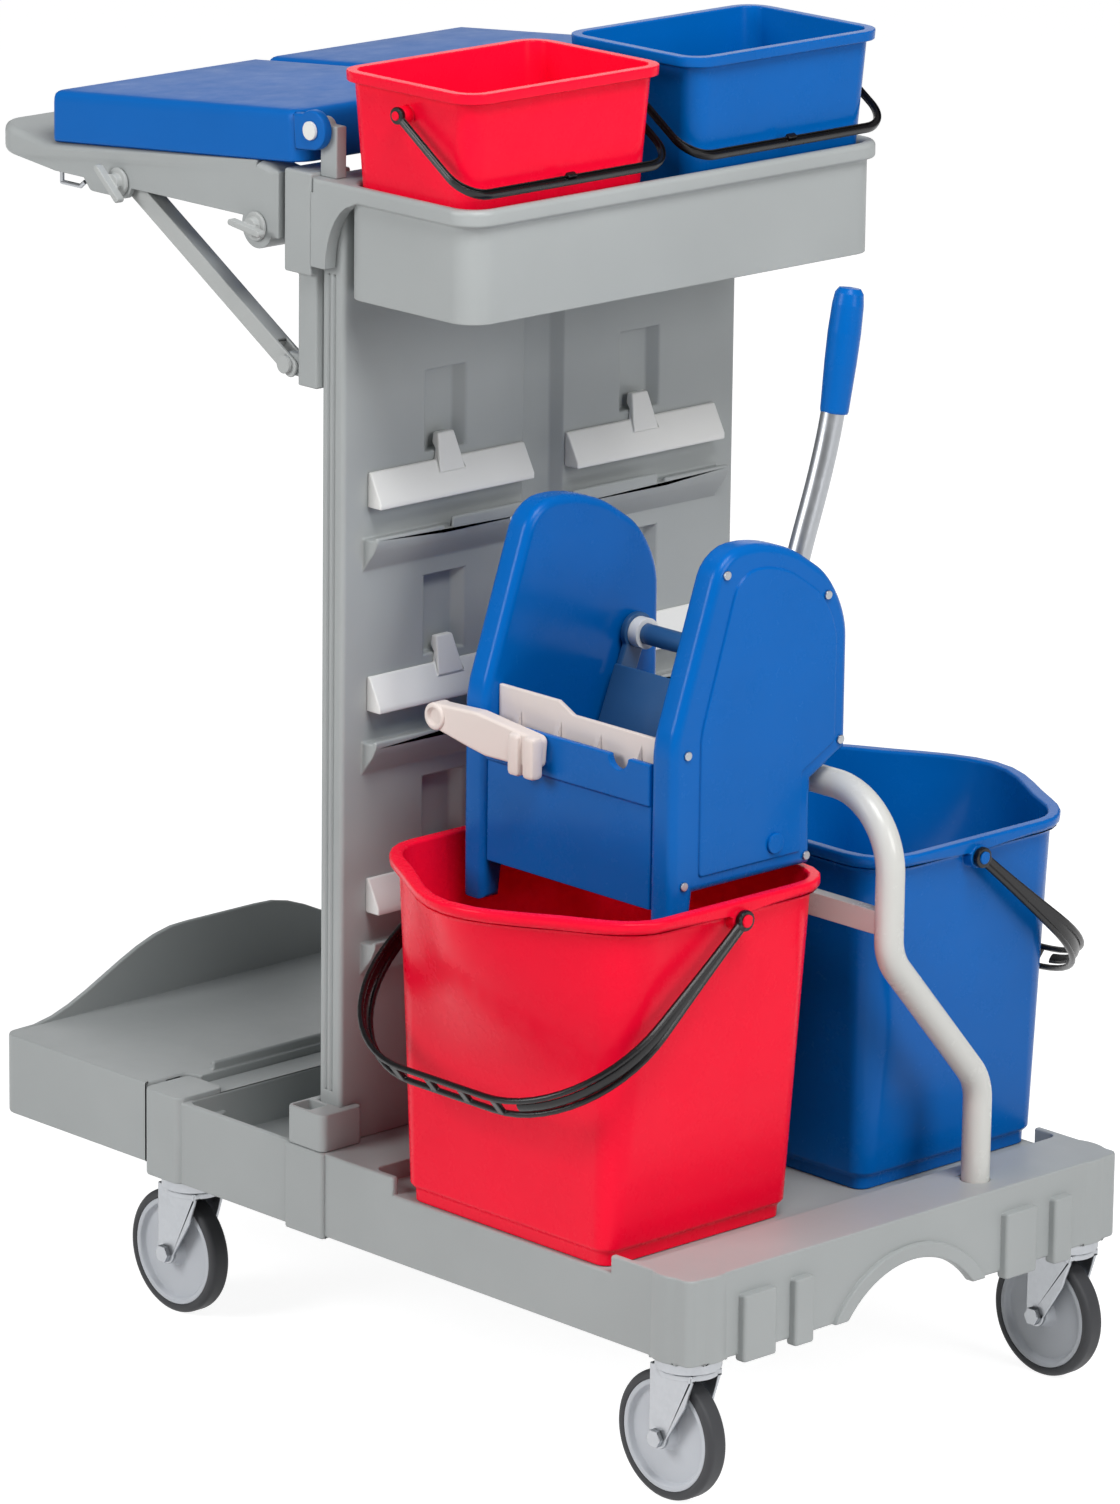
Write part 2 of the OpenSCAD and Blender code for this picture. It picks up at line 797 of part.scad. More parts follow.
module lid_hinges() {
    x0 = hinge_x + 1;
    color(grey) for (s = [-1, 1], y = [tray_y - 1 - ear_t - gap - block_w, 4 + ear_t + gap]) {
        ya = s > 0 ? y : -y - block_w;
        difference() {
            union() {
                block([x0, ya, tray_top], [x0 + 18, ya + block_w, hinge_z + 4]);
                disc_y(ya, ya + block_w, hinge_x, hinge_z, 9);
            }
            disc_y(ya - 1, ya + block_w + 1, hinge_x, hinge_z, lid_pin_r + fit);
        }
    }
}

module lid_pins() {
    reach = 1 + ear_t + gap + block_w;
    color(white) {
        both_sides() {
            disc_y(-tray_y + 1 - gap, -tray_y + reach, hinge_x, hinge_z, lid_pin_r);
            disc_y(-tray_y - 1 - gap, -tray_y + 1 - gap, hinge_x, hinge_z, 7);
        }
        disc_y(-3 - reach, 3 + reach, hinge_x, hinge_z, lid_pin_r);
    }
}

// Buckets

// One level of a bucket: half length a, from y0 to y1, corner r, with a bulge at the y0 side
// and its own corner at the far end where that is given
function bucket_ring(z, a, y0, y1, r, bulge, r_end = undef) =
    let (k = 5, m = 10, e = is_undef(r_end) ? r : r_end)
    let (pts = concat(
        [for (i = [0:k]) [a - r + r * cos(90 * i / k), y1 - r + r * sin(90 * i / k)]],
        [for (i = [0:k]) [-a + e - e * sin(90 * i / k), y1 - e + e * cos(90 * i / k)]],
        [for (i = [0:k]) [-a + e - e * cos(90 * i / k), y0 + e - e * sin(90 * i / k)]],
        [for (i = [1:m - 1]) [mix(-a + e, a - r, i / m), y0]],
        [for (i = [0:k]) [a - r + r * sin(90 * i / k), y0 + r - r * cos(90 * i / k)]]))
    [for (p = pts) [p[0], p[1] - (p[1] < (y0 + y1) / 2 ? bulge * pow(cos(90 * p[0] / a), 2) : 0), z]];

// Closed shell through a list of rings, outside upwards and inside downwards
module ring_shell(rings) {
    n = len(rings[0]);
    k = len(rings);
    polyhedron(
        points = [for (ring = rings) each ring],
        faces = concat(
            [[for (i = [0:n - 1]) i]],
            [for (j = [0:k - 2], i = [0:n - 1]) [j * n + i, (j + 1) * n + i, (j + 1) * n + (i + 1) % n]],
            [for (j = [0:k - 2], i = [0:n - 1]) [j * n + i, (j + 1) * n + (i + 1) % n, j * n + (i + 1)
                % n]],
            [[for (i = [0:n - 1]) k * n - 1 - i]]),
        convexity = 4);
}

// Ring of a large bucket at height z above the deck, moved out by d
function large_ring(z, d) =
    let (t = z / bucket_h)
    bucket_ring(deck_z + z, bucket_l / 2 + bucket_flare * t + d,
        -(side_y + bucket_out_flare * t) - d, -(bucket_mid_gap - bucket_in_flare * t) + d,
        mix(14, 34, t) + d, bucket_bulge * smooth((t - 0.42) / 0.58));

module large_bucket() {
    plinth = 4;
    low = 10;
    outer = [[gap, -plinth], [low, -plinth], [low + 4, 0], [110, 0], [160, 0], [205, 0], [240, 0]];
    inner = [[240, 0], [205, 0], [160, 0], [110, 0], [low + 4, 0]];
    top = bucket_h;
    rings = concat(
        [for (p = outer) large_ring(p[0] * (p[0] > low + 4 ? bucket_h / 270 : 1), p[1])],
        [large_ring(top - bucket_rim_h, 0), large_ring(top - bucket_rim_h, bucket_rim),
            large_ring(top, bucket_rim),
            large_ring(top, -bucket_wall)],
        [for (p = inner) large_ring(p[0] * (p[0] > low + 4 ? bucket_h / 270 : 1), -bucket_wall)],
        [large_ring(low, -plinth - bucket_wall), large_ring(gap + bucket_wall, -plinth - bucket_wall)]);
    translate([bucket_x, 0, 0]) {
        ring_shell(rings);
        for (s = [-1, 1]) {
            x = s * (pivot_x + pivot_out - 1);
            disc_x(min(s * (pivot_x - 1), x), max(s * (pivot_x - 1), x), -pivot_y, pivot_z, pivot_r + 4);
            x2 = s * (pivot_x + pivot_out + bail_t + 2 * gap);
            disc_x(min(x, x2), max(x, x2), -pivot_y, pivot_z, pivot_r);
        }
    }
}

module large_bucket_red() { color(red) large_bucket(); }
module large_bucket_blue() { color(blue) mirror([0, 1, 0]) large_bucket(); }

// Bail in the X and Y plane with its pivots at x = -half and half, reaching to -Y
module bail(half, reach, w, t, r_bend, eye) {
    straight = reach - r_bend;
    difference() {
        union() {
            for (s = [-1, 1]) {
                translate([s * (half + t / 2), -straight / 2, 0]) cube([t, straight, w], center = true);
                disc_x(s * (half + t / 2) - t / 2, s * (half + t / 2) + t / 2, 0, 0, eye + 4);
                translate([s * (half + t - r_bend), -straight, 0])
                    rotate([0, 0, s > 0 ? -90 : 180])
                        rotate_extrude(angle = 90) translate([r_bend - t / 2, 0]) square([t, w],
                            center = true);
            }
            translate([0, -straight - r_bend + t / 2, 0]) cube([2 * (half + t - r_bend), t, w],
                center = true);
        }
        disc_x(-half - 2 * t, half + 2 * t, 0, 0, eye + fit);
    }
}

// Large bail with the windows of its grip, at rest against the bulge
module large_bail() {
    half = pivot_x + pivot_out - 1 + gap;
    grip = 110;
    translate([bucket_x, -pivot_y, pivot_z]) rotate([bail_drop, 0, 0]) difference() {
        union() {
            bail(half, bail_reach, bail_w, bail_t, bail_bend, pivot_r);
            translate([0, -bail_reach + 3, 0]) cube([grip, 14, bail_w + 9], center = true);
        }
        for (i = [-1, 0, 1])
            translate([i * 34, -bail_reach + 3, 0]) rotate([90, 0, 0])
                linear_extrude(40, center = true) round_rect(26, 9, 4);
    }
}

module large_bail_red() { color(black) large_bail(); }
module large_bail_blue() { color(black) mirror([0, 1, 0]) large_bail(); }

// Ring of a small bucket at height z above its seat, moved out by d
function small_ring(z, d) =
    let (t = z / small_h)
    bucket_ring(tray_floor + gap + z, small_l / 2 + small_flare * t + d,
        -small_w / 2 - 8 * t - d, small_w / 2 + 8 * t + d, 16 + d, 0);

small_pivot_out = small_rim + 3;
small_pivot_y = small_w / 2 + 8 * (small_h - 24) / small_h;
small_pivot_r = 3.5;
small_bail_t = 4;

module small_bucket() {
    low = 6;
    top = small_h;
    rings = [small_ring(0, -3), small_ring(low, 0), small_ring(top - 8, 0), small_ring(top - 8, small_rim),
        small_ring(top, small_rim), small_ring(top, -small_wall), small_ring(low + 2, -small_wall),
        small_ring(small_wall, -3 - small_wall)];
    translate([small_x, -small_y, 0]) {
        ring_shell(rings);
        for (s = [-1, 1]) {
            y = s * (small_pivot_y + small_pivot_out - 1);
            disc_y(min(s * (small_pivot_y - 1), y), max(s * (small_pivot_y - 1), y),
                0, small_pivot_z, small_pivot_r + 3);
            y2 = s * (small_pivot_y + small_pivot_out + small_bail_t + 2 * gap);
            disc_y(min(y, y2), max(y, y2), 0, small_pivot_z, small_pivot_r);
        }
    }
}

module small_bucket_red() { color(red) small_bucket(); }
module small_bucket_blue() { color(blue) mirror([0, 1, 0]) small_bucket(); }

module small_bail() {
    half = small_pivot_y + small_pivot_out - 1 + gap;
    translate([small_x, -small_y, small_pivot_z]) rotate([0, small_bail_drop, 0]) rotate([0, 0, 90])
        difference() {
        bail(half, small_bail_reach, 9, small_bail_t, small_bail_bend, small_pivot_r);
        translate([0, -small_bail_reach, 5]) cube([16, 12, 4], center = true);
    }
}

module small_bail_red() { color(black) small_bail(); }
module small_bail_blue() { color(black) mirror([0, 1, 0]) small_bail(); }

// Wringer

// Outline of a wringer side plate in Y and Z, with a leg at the front that dips into the bucket
function side_outline() =
    let (f = wringer_front, z = wringer_z, h = wringer_h)
    rounded([[f, leg_z, 2], [f + 18, leg_z, 2], [f + 24, z, 3], [-25, z, 3], [-25, stand_z + 8, 4],
        [10, stand_z + 26, 6],
        [10, z + h - 48, 70], [-62, z + h, 100], [f + 48, z + h, 30], [f, z + h * 0.45, 70]], 8);

// Outline of the raised panel on the outside of a side plate
function panel_outline(d) =
    let (f = wringer_front, z = wringer_z, h = wringer_h)
    rounded([[f + 27 + d, z + 12 + d, 3], [-38 - d, z + 12 + d, 3], [-38 - d, stand_z + 16, 4],
        [-4 - d, stand_z + 34, 6],
        [-4 - d, z + h - 58, 56], [-64, z + h - 18 - d, 70], [f + 64 + d, z + h - 18 - d, 24],
            [f + 27 + d, z + h * 0.47, 50]], 8);

module wringer_side(x0, x1, out) {
    panel = 1.2;
    xp = out > 0 ? x1 - panel : x0 - 1;
    color(blue) difference() {
        along_x(x0, x1) polygon(side_outline());
        along_x(xp, xp + panel + 1) difference() {
            polygon(panel_outline(0));
            polygon(panel_outline(2));
        }
        disc_x(x0 - 1, x1 + 1, jaw_y, jaw_z, pin_r + fit);
        for (p = screw_places())
            disc_x(out > 0 ? x1 - 4 : x0 - 1, out > 0 ? x1 + 1 : x0 + 4, p[0], p[1], 2.5 + fit);
    }
}

function screw_places() =
    let (f = wringer_front, z = wringer_z, h = wringer_h)
    [[f + 12, z + 8], [-32, z + 8], [f + 14, z + h * 0.42], [2, stand_z + 34], [f + 51, z + h - 18],
        [-14, z + h - 50]];

module wringer_side_near() { wringer_side(wringer_x1 - side_t, wringer_x1, 1); }
module wringer_side_far() { wringer_side(wringer_x0, wringer_x0 + side_t, -1); }

tub_x0 = wringer_x0 + side_t;
tub_x1 = wringer_x1 - side_t;
tub_wall = 4;
front_h = 97;
panel_drop = 14;

// Front wall, slotted bottom, back wall and the hook rail over the stand tube
module wringer_tub() {
    back = -tube_r - 11;
    hook_z = stand_z + tube_r + gap;
    slots = 9;
    pitch = (tub_x1 - tub_x0 - 20) / slots;
    color(blue) difference() {
        union() {
            block([tub_x0, wringer_front + 2, wringer_z - panel_drop],
                [tub_x1, wringer_front + 2 + tub_wall, wringer_z + front_h]);
            block([tub_x0, wringer_front, wringer_z + front_h - 32],
                [tub_x1, wringer_front + 2 + tub_wall, wringer_z + front_h]);
            block([tub_x0, wringer_front + 2, wringer_z], [tub_x1, back + tub_wall, wringer_z + tub_wall]);
            block([tub_x0, back, wringer_z], [tub_x1, back + tub_wall, hook_z + 5]);
            block([tub_x0 + 20, back, hook_z], [tub_x1 - 20, tube_r + 6, hook_z + 5]);
            block([tub_x0 + 20, tube_r + 2, hook_z - 20], [tub_x1 - 20, tube_r + 6, hook_z + 5]);
        }
        for (i = [0:slots - 1])
            block([tub_x0 + 14 + i * pitch, screen_y + 14, wringer_z - 1],
                [tub_x0 + 14 + i * pitch + pitch / 2, jaw_y - 18, wringer_z + tub_wall + 1]);
        disc_y(wringer_front - 1, wringer_front + 8, latch_x, latch_z, pin_r + fit);
        disc_y(wringer_front - 1, wringer_front + 8, tub_x1 - 33, wringer_z + front_h, 10);
    }
}

// Fixed press screen with triangular ribs towards the front wall
module press_screen() {
    x0 = tub_x0 + gap;
    x1 = tub_x1 - gap;
    z0 = wringer_z + tub_wall;
    top = wringer_z + 113;
    front = wringer_front + 2 + tub_wall;
    step = 64;
    color(white) {
        along_y(screen_y, screen_y + tub_wall)
            polygon([[x0, z0], [x1, z0], [x1, top], [x0 + step + 16, top], [x0 + step, top + 8],
                [x0, top + 8]]);
        for (i = [0:3])
            along_x(mix(x0 + 20, x1 - 26, i / 3), mix(x0 + 20, x1 - 26, i / 3) + 5)
                polygon([[front, z0], [screen_y + 1, z0], [screen_y + 1, top - 4], [front, top - 24]]);
    }
}

arm_turn = atan2(bar_y - jaw_y, bar_z - jaw_z);
arm_len = norm([bar_y - jaw_y, bar_z - jaw_z]);

// Shape drawn in Y and Z along a press arm, with the pivot at the origin
module on_arm() {
    translate([jaw_y, jaw_z]) rotate(-arm_turn) children();
}

module press_arms() {
    color(dark_blue) for (x = [arm_x0, arm_x1 - arm_t]) difference() {
        along_x(x, x + arm_t) on_arm() {
            circle(11);
            translate([0, arm_len]) circle(15);
            translate([-9, 0]) square([18, arm_len]);
        }
        disc_x(x - 1, x + arm_t + 1, jaw_y, jaw_z, pin_r + fit);
        disc_x(x - 1, x + arm_t + 1, bar_y, bar_z, bar_r + fit);
    }
}

module press_crossbar() {
    color(dark_blue) disc_x(arm_x0, arm_x1, bar_y, bar_z, bar_r);
}

// Plate that the arms carry, standing in front of them on two webs
module press_plate() {
    color([0.45, 0.53, 0.60]) {
        along_x(arm_x0 + arm_t, arm_x1 - arm_t) on_arm() translate([-16, 6]) square([5, arm_len - 34]);
        for (x = [arm_x0 + arm_t, arm_x1 - 2 * arm_t])
            along_x(x, x + arm_t) on_arm() translate([-12, 16]) square([18, arm_len - 54]);
    }
}

module press_bushes() {
    len_b = 9;
    color(white) for (x = [arm_x0 + arm_t, arm_x1 - arm_t - len_b - lever_d - 6])
        difference() {
            disc_x(x, x + len_b, bar_y, bar_z, bar_r + 4);
            disc_x(x - 1, x + len_b + 1, bar_y, bar_z, bar_r + fit);
        }
}

// Point on the axis of the grip, at a distance from its bend
function on_grip(s) =
    let (p = lever_high + (lever_top - lever_high) / norm(lever_top - lever_high) * s)
    [lever_x, p[0], p[1]];

grip_start = 5;
grip_hold = 50;

// Bent lever with a ring on the cross bar and a straight end inside the grip
module lever_tube() {
    r = lever_d / 2;
    knee = r + 0.3;
    low = [lever_x, lever_low[0], lever_low[1]];
    mid = [lever_x, lever_mid[0], lever_mid[1]];
    high = [lever_x, lever_high[0], lever_high[1]];
    color(pale_grey) difference() {
        union() {
            disc_x(lever_x - r, lever_x + r, bar_y, bar_z, bar_r + 6);
            rod(low, mid, r);
            translate(mid) sphere(knee);
            rod(mid, high, r);
            translate(high) sphere(knee);
            rod(high, on_grip(grip_hold), r);
        }
        disc_x(lever_x - 2 * r, lever_x + 2 * r, bar_y, bar_z, bar_r + fit);
    }
}

// Outline of the grip from its lower end: a slim barrel with a round top
function grip_outline(r, l) = [[0, 0], [r * 0.82, 0], [r * 0.86, 2], [r * 0.97, l * 0.4], [r, l * 0.64],
    [r * 0.95, l * 0.86], [r * 0.86, l * 0.95], [r * 0.66, l * 0.99], [0, l]];

module lever_grip() {
    d = lever_top - lever_high;
    color(blue) difference() {
        translate(on_grip(grip_start)) rotate([-atan2(d[0], d[1]), 0, 0])
            rotate_extrude() polygon(grip_outline(grip_d / 2, norm(d) - grip_start));
        rod(on_grip(0), on_grip(grip_hold + gap), lever_d / 2 + fit);
    }
}

// White latch in front of the tub, with a ring at its outer end
module latch() {
    y1 = wringer_front - gap;
    ring_x = latch_x - 65;
    ring_z = latch_z + 4;
    color(white) difference() {
        along_y(y1 - latch_t, y1) difference() {
            union() {
                polygon(rounded([[ring_x, ring_z - 11, 2], [latch_x - 12, latch_z - 16, 4],
                    [latch_x + 14, latch_z - 16, 3],
                    [latch_x + 18, latch_z - 24, 2], [latch_x + 42, latch_z - 24, 3],
                        [latch_x + 45, latch_z + 10, 4],
                    [latch_x - 32, latch_z + 15, 5], [ring_x, ring_z + 11, 2]]));
                translate([ring_x, ring_z]) circle(11);
            }
            translate([latch_x + 26, latch_z - 30]) square([6, 12]);
        }
        disc_y(y1 - latch_t - 1, y1 + 1, latch_x, latch_z, pin_r + fit);
    }
}

// Pivot pins of the press arms and of the latch
module wringer_pins() {
    y1 = wringer_front - gap;
    color(zinc) {
        disc_x(wringer_x0 - 1, arm_x0 + arm_t, jaw_y, jaw_z, pin_r);
        disc_x(wringer_x0 - 4, wringer_x0 - gap, jaw_y, jaw_z, 8);
        disc_x(arm_x1 - arm_t, wringer_x1 + 1, jaw_y, jaw_z, pin_r);
        disc_x(wringer_x1 + gap, wringer_x1 + 4, jaw_y, jaw_z, 8);
        disc_y(y1 - latch_t - gap, wringer_front + 2 + tub_wall, latch_x, latch_z, pin_r);
        disc_y(y1 - latch_t - 3, y1 - latch_t - gap, latch_x, latch_z, 7);
    }
}

module wringer_screws() {
    head = 3.4;
    color(zinc) for (p = screw_places()) {
        disc_x(wringer_x1 - 4, wringer_x1, p[0], p[1], 2.5);
        disc_x(wringer_x1, wringer_x1 + 2, p[0], p[1], head);
        disc_x(wringer_x0, wringer_x0 + 4, p[0], p[1], 2.5);
        disc_x(wringer_x0 - 2, wringer_x0, p[0], p[1], head);
    }
}

// Press stand

lean = atan2(foot_y, 116);
bend_t = bend_r * tan(lean / 2);
leg_low = base_top + 78;
leg_high = leg_low + 116;
seam = 0.01;

// One leg: straight up, over to the middle of the cart and up again
module stand_leg(x, z0) {
    near = bend_t + seam;
    rod([x, foot_y, z0], [x, foot_y, leg_low - near], tube_r);
    translate([x, foot_y - bend_r, leg_low - bend_t]) rotate([90, 0, 90])
        rotate_extrude(angle = lean) translate([bend_r, 0]) circle(tube_r);
    rod([x, foot_y - near * sin(lean), leg_low + near * cos(lean)],
        [x, near * sin(lean), leg_high - near * cos(lean)], tube_r);
    translate([x, bend_r, leg_high + bend_t]) rotate([90, 0, 90]) rotate([0, 0, 180])
        rotate_extrude(angle = lean) translate([bend_r, 0]) circle(tube_r);
    rod([x, 0, leg_high + near], [x, 0, stand_z - stand_bend], tube_r);
}

module press_stand() {
    color(pale_grey) {
        stand_leg(stand_x, base_top - stand_depth(stand_x) + gap);
        stand_leg(stand_rear_x, base_top - stand_depth(stand_rear_x) + gap);
        translate([stand_x - stand_bend, 0, stand_z - stand_bend]) rotate([90, 0, 0])
            rotate_extrude(angle = 90) translate([stand_bend, 0]) circle(tube_r);
        translate([stand_rear_x + stand_bend, 0, stand_z - stand_bend]) rotate([90, 0, 0])
            rotate([0, 0, 90])
            rotate_extrude(angle = 90) translate([stand_bend, 0]) circle(tube_r);
        rod([stand_rear_x + stand_bend, 0, stand_z], [stand_x - stand_bend, 0, stand_z], tube_r);
        block([stand_rear_x, -5, rail_z - 9], [stand_x, 5, rail_z + 9]);
    }
}

// Casters

crown_z = wheel_d + 2;
crown_h = 5;
leg_y = wheel_w / 2 + 2.5;
fork_t = 3;
leg_r = 9;
kingpin_r = 5;

// Fixed swivel heads with their stems and kingpins
module caster_heads() {
    color(zinc) for (c = casters) translate([c[0], c[1], 0]) {
        translate([0, 0, crown_z + crown_h + gap])
            cylinder(h = caster_h - crown_z - crown_h - gap, d = head_d);
        translate([0, 0, caster_h - 1]) cylinder(h = stem_h, r = stem_r);
        translate([0, 0, crown_z - gap]) cylinder(h = crown_h + 2, r = kingpin_r);
        translate([0, 0, crown_z - gap - 1.2]) cylinder(h = 1.2, r = kingpin_r + 3);
    }
}

// Fork of one caster: a crown with its front shoulder and two legs that trail to the axle
module fork(c) {
    back = -caster_trail - leg_r;
    front = head_d / 2 - 5;
    out = leg_y + fork_t;
    color(zinc) translate([c[0], c[1], 0]) difference() {
        union() {
            translate([0, 0, crown_z]) linear_extrude(crown_h) {
                circle(d = head_d - 4);
                translate([back, -out]) square([front - back, 2 * out]);
            }
            for (s = [-1, 1])
                along_y(s > 0 ? leg_y : -out, s > 0 ? out : -leg_y) {
                    polygon([[back, crown_z + 2], [front, crown_z + 2], [front - 8, crown_z - 22],
                        [-caster_trail + leg_r, axle_z], [back, axle_z]]);
                    translate([-caster_trail, axle_z]) circle(leg_r);
                }
        }
        translate([0, 0, crown_z - 1]) cylinder(h = crown_h + 2, r = kingpin_r + fit);
        disc_y(-leg_y - fork_t - 1, leg_y + fork_t + 1, -caster_trail, axle_z, axle_d / 2 + fit);
    }
}

axle_z = wheel_d / 2;

// Axle bolt with a hexagonal head and nut
module axle(c) {
    head = 4;
    y = leg_y + fork_t + gap;
    color(zinc) translate([c[0] - caster_trail, c[1], axle_z]) rotate([90, 0, 0]) {
        cylinder(h = 2 * y + 2, d = axle_d, center = true);
        translate([0, 0, y]) cylinder(h = head, r = axle_d * 0.9, $fn = 6);
        translate([0, 0, -y - head]) cylinder(h = head, r = axle_d * 0.9, $fn = 6);
    }
}

rim_r = wheel_d / 2 - tyre_t;

// Wheel centre with hub, web and rim
module wheel(c) {
    hub = leg_y - gap;
    rim = wheel_w / 2 - 2;
    b = axle_d / 2 + fit;
    color([0.62, 0.63, 0.65]) translate([c[0] - caster_trail, c[1], axle_z]) rotate([90, 0, 0])
        rotate_extrude() polygon([[b, -hub], [b + 5, -hub], [b + 8, -4], [rim_r - 6, -3],
            [rim_r - 4, -rim], [rim_r, -rim],
            [rim_r, rim], [rim_r - 4, rim], [rim_r - 6, 3], [b + 8, 4], [b + 5, hub], [b, hub]]);
}

// Tyre with a round tread
module tyre(c) {
    w = wheel_w / 2;
    r0 = rim_r + fit;
    r1 = wheel_d / 2;
    e = min(6, tyre_t * 0.6);
    color(rubber) translate([c[0] - caster_trail, c[1], axle_z]) rotate([90, 0, 0])
        rotate_extrude() polygon(rounded([[r0, -w + 2, 0], [r1, -w, e], [r1, w, e], [r0, w - 2, 0]]));
}

base_frame();
bag_platform();
column_panel();
column_feet();
tool_clips();
top_tray();
bag_brackets();
bag_frame();
bag_handle();
bag_hooks();
struts();
strut_pins();
pivot_screw_near();
pivot_screw_far();
lock_screw_near();
lock_screw_far();
lid_near();
lid_far();
lid_pins();
lid_hinges();
small_bucket_red();
small_bucket_blue();
small_bail_red();
small_bail_blue();
large_bucket_red();
large_bucket_blue();
large_bail_red();
large_bail_blue();
wringer_side_near();
wringer_side_far();
wringer_tub();
press_screen();
press_plate();
press_arms();
press_crossbar();
press_bushes();
lever_tube();
lever_grip();
latch();
wringer_pins();
wringer_screws();
press_stand();
caster_heads();
fork(casters[0]);  // fork_front_near
fork(casters[1]);  // fork_front_far
fork(casters[2]);  // fork_rear_near
fork(casters[3]);  // fork_rear_far
axle(casters[0]);  // axle_front_near
axle(casters[1]);  // axle_front_far
axle(casters[2]);  // axle_rear_near
axle(casters[3]);  // axle_rear_far
wheel(casters[0]);  // wheel_front_near
wheel(casters[1]);  // wheel_front_far
wheel(casters[2]);  // wheel_rear_near
wheel(casters[3]);  // wheel_rear_far
tyre(casters[0]);  // tyre_front_near
tyre(casters[1]);  // tyre_front_far
tyre(casters[2]);  // tyre_rear_near
tyre(casters[3]);  // tyre_rear_far
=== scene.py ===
# %% [markdown]
# # A janitor cart, dressed for its photograph
#
# The cart is a moulded grey base on four casters. A column carries a top tray with two small buckets, a bag
# frame with two lids folds out at the back, and two large buckets stand at the front under a press wringer.
# The solids come ready from the CAD frame. Here they get round moulded edges, finer versions of the pieces
# whose shape a solid can only hint at, and finishes that show what each piece is made of.
#
# Everything is in metres, in the frame of the CAD model: X runs from the bag end to the bucket end, Y across
# and Z up. The near side has the smaller Y.

import json
import math

import bmesh
import bpy
from mathutils import Matrix, Vector
from mathutils.geometry import interpolate_bezier


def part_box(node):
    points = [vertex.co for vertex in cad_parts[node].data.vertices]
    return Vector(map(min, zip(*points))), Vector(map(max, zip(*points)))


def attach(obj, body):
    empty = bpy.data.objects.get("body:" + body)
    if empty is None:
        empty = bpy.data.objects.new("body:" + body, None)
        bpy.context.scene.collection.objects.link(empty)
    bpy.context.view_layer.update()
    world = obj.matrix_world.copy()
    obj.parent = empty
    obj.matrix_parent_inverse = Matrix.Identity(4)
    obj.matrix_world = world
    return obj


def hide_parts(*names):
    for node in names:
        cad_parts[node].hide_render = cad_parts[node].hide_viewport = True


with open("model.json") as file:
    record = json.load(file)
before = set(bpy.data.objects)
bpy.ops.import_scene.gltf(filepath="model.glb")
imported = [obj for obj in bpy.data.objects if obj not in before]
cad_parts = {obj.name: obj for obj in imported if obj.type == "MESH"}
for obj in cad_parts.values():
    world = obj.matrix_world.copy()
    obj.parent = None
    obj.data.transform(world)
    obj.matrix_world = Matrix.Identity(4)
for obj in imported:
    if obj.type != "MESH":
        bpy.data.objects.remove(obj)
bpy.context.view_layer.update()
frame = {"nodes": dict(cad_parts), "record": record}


def mm(*values):
    """A point or distance given in millimetres, in metres."""
    return Vector(values) / 1000


# %% [markdown]
# ## The camera
#
# The cart stands turned by 46 degrees, seen from a little above and from far away, so upright lines stay
# nearly parallel. A long lens does that. The direction was found by fitting the corners of the CAD model to
# the picture, and the camera is placed by that direction and by where the cart sits in the view: a point of
# the cart, and the place of this point as the camera sees it, to the right, up and away.

# %% camera
VIEW_HEIGHT = 1504
FOCAL_PIXELS = 8007
SENSOR = 36.0
AZIMUTH, ELEVATION, ROLL = 46.37, 15.50, 0.70
CART_POINT, POINT_IN_VIEW = mm(360, 0, 0), mm(233.3, -515.2, -6036)

azimuth, elevation, roll = (math.radians(angle) for angle in (AZIMUTH, ELEVATION, ROLL))
back = Vector((math.sin(azimuth) * math.cos(elevation),
               -math.cos(azimuth) * math.cos(elevation),
               math.sin(elevation)))
level = Vector((math.cos(azimuth), math.sin(azimuth), 0))
rise = back.cross(level)
right = math.cos(roll) * level + math.sin(roll) * rise
up = math.cos(roll) * rise - math.sin(roll) * level
turn = Matrix((right, up, back)).transposed()

lens = bpy.data.cameras.new("camera")
lens.sensor_fit = "VERTICAL"
lens.sensor_height = SENSOR
lens.lens = FOCAL_PIXELS * SENSOR / VIEW_HEIGHT
camera = bpy.data.objects.new("camera", lens)
camera.matrix_world = Matrix.Translation(CART_POINT - turn @ POINT_IN_VIEW) @ turn.to_4x4()
bpy.context.scene.collection.objects.link(camera)
bpy.context.scene.camera = camera
bpy.context.scene.view_settings.view_transform = "Standard"
print("camera at", [round(v, 3) for v in camera.matrix_world.translation], "lens", round(lens.lens, 1))


# %% [markdown]
# ## Node helper
#
# A shader is a small graph. Writing it out link by link hides the idea, so one helper adds a node, sets its
# properties, and either links a socket or gives it a plain value.

# %% node helper
def add(tree, kind, sockets=(), **settings):
    """A new shader node with its settings made and its sockets linked or filled."""
    made = tree.nodes.new(kind)
    for key, value in settings.items():
        setattr(made, key, value)
    for key, value in dict(sockets).items():
        if isinstance(value, bpy.types.NodeSocket):
            tree.links.new(value, made.inputs[key])
        else:
            made.inputs[key].default_value = value
    return made


def screen(red, green, blue):
    """A colour written as on a screen, from 0 to 255, in Blender's linear values."""
    linear = [((c / 255 + 0.055) / 1.055) ** 2.4 if c > 10 else c / 3294.6 for c in (red, green, blue)]
    return (*linear, 1.0)


def blank(name):
    """A new node material with its shader."""
    material = bpy.data.materials.new(name)
    material.use_nodes = True
    return material, material.node_tree, material.node_tree.nodes["Principled BSDF"]


print("helpers ready")

# %% [markdown]
# ## Floor and studio light
#
# The picture is a cut-out on white. A wide floor that the camera sees as nearly white gives the same ground
# and still takes the soft shadow of the cart. Two soft lamps stand left and right of the camera, a third
# hangs high in front, so that the tray shades the column, and a weak one stands behind. The world fills the
# rest, so that a colour renders about as it is written.

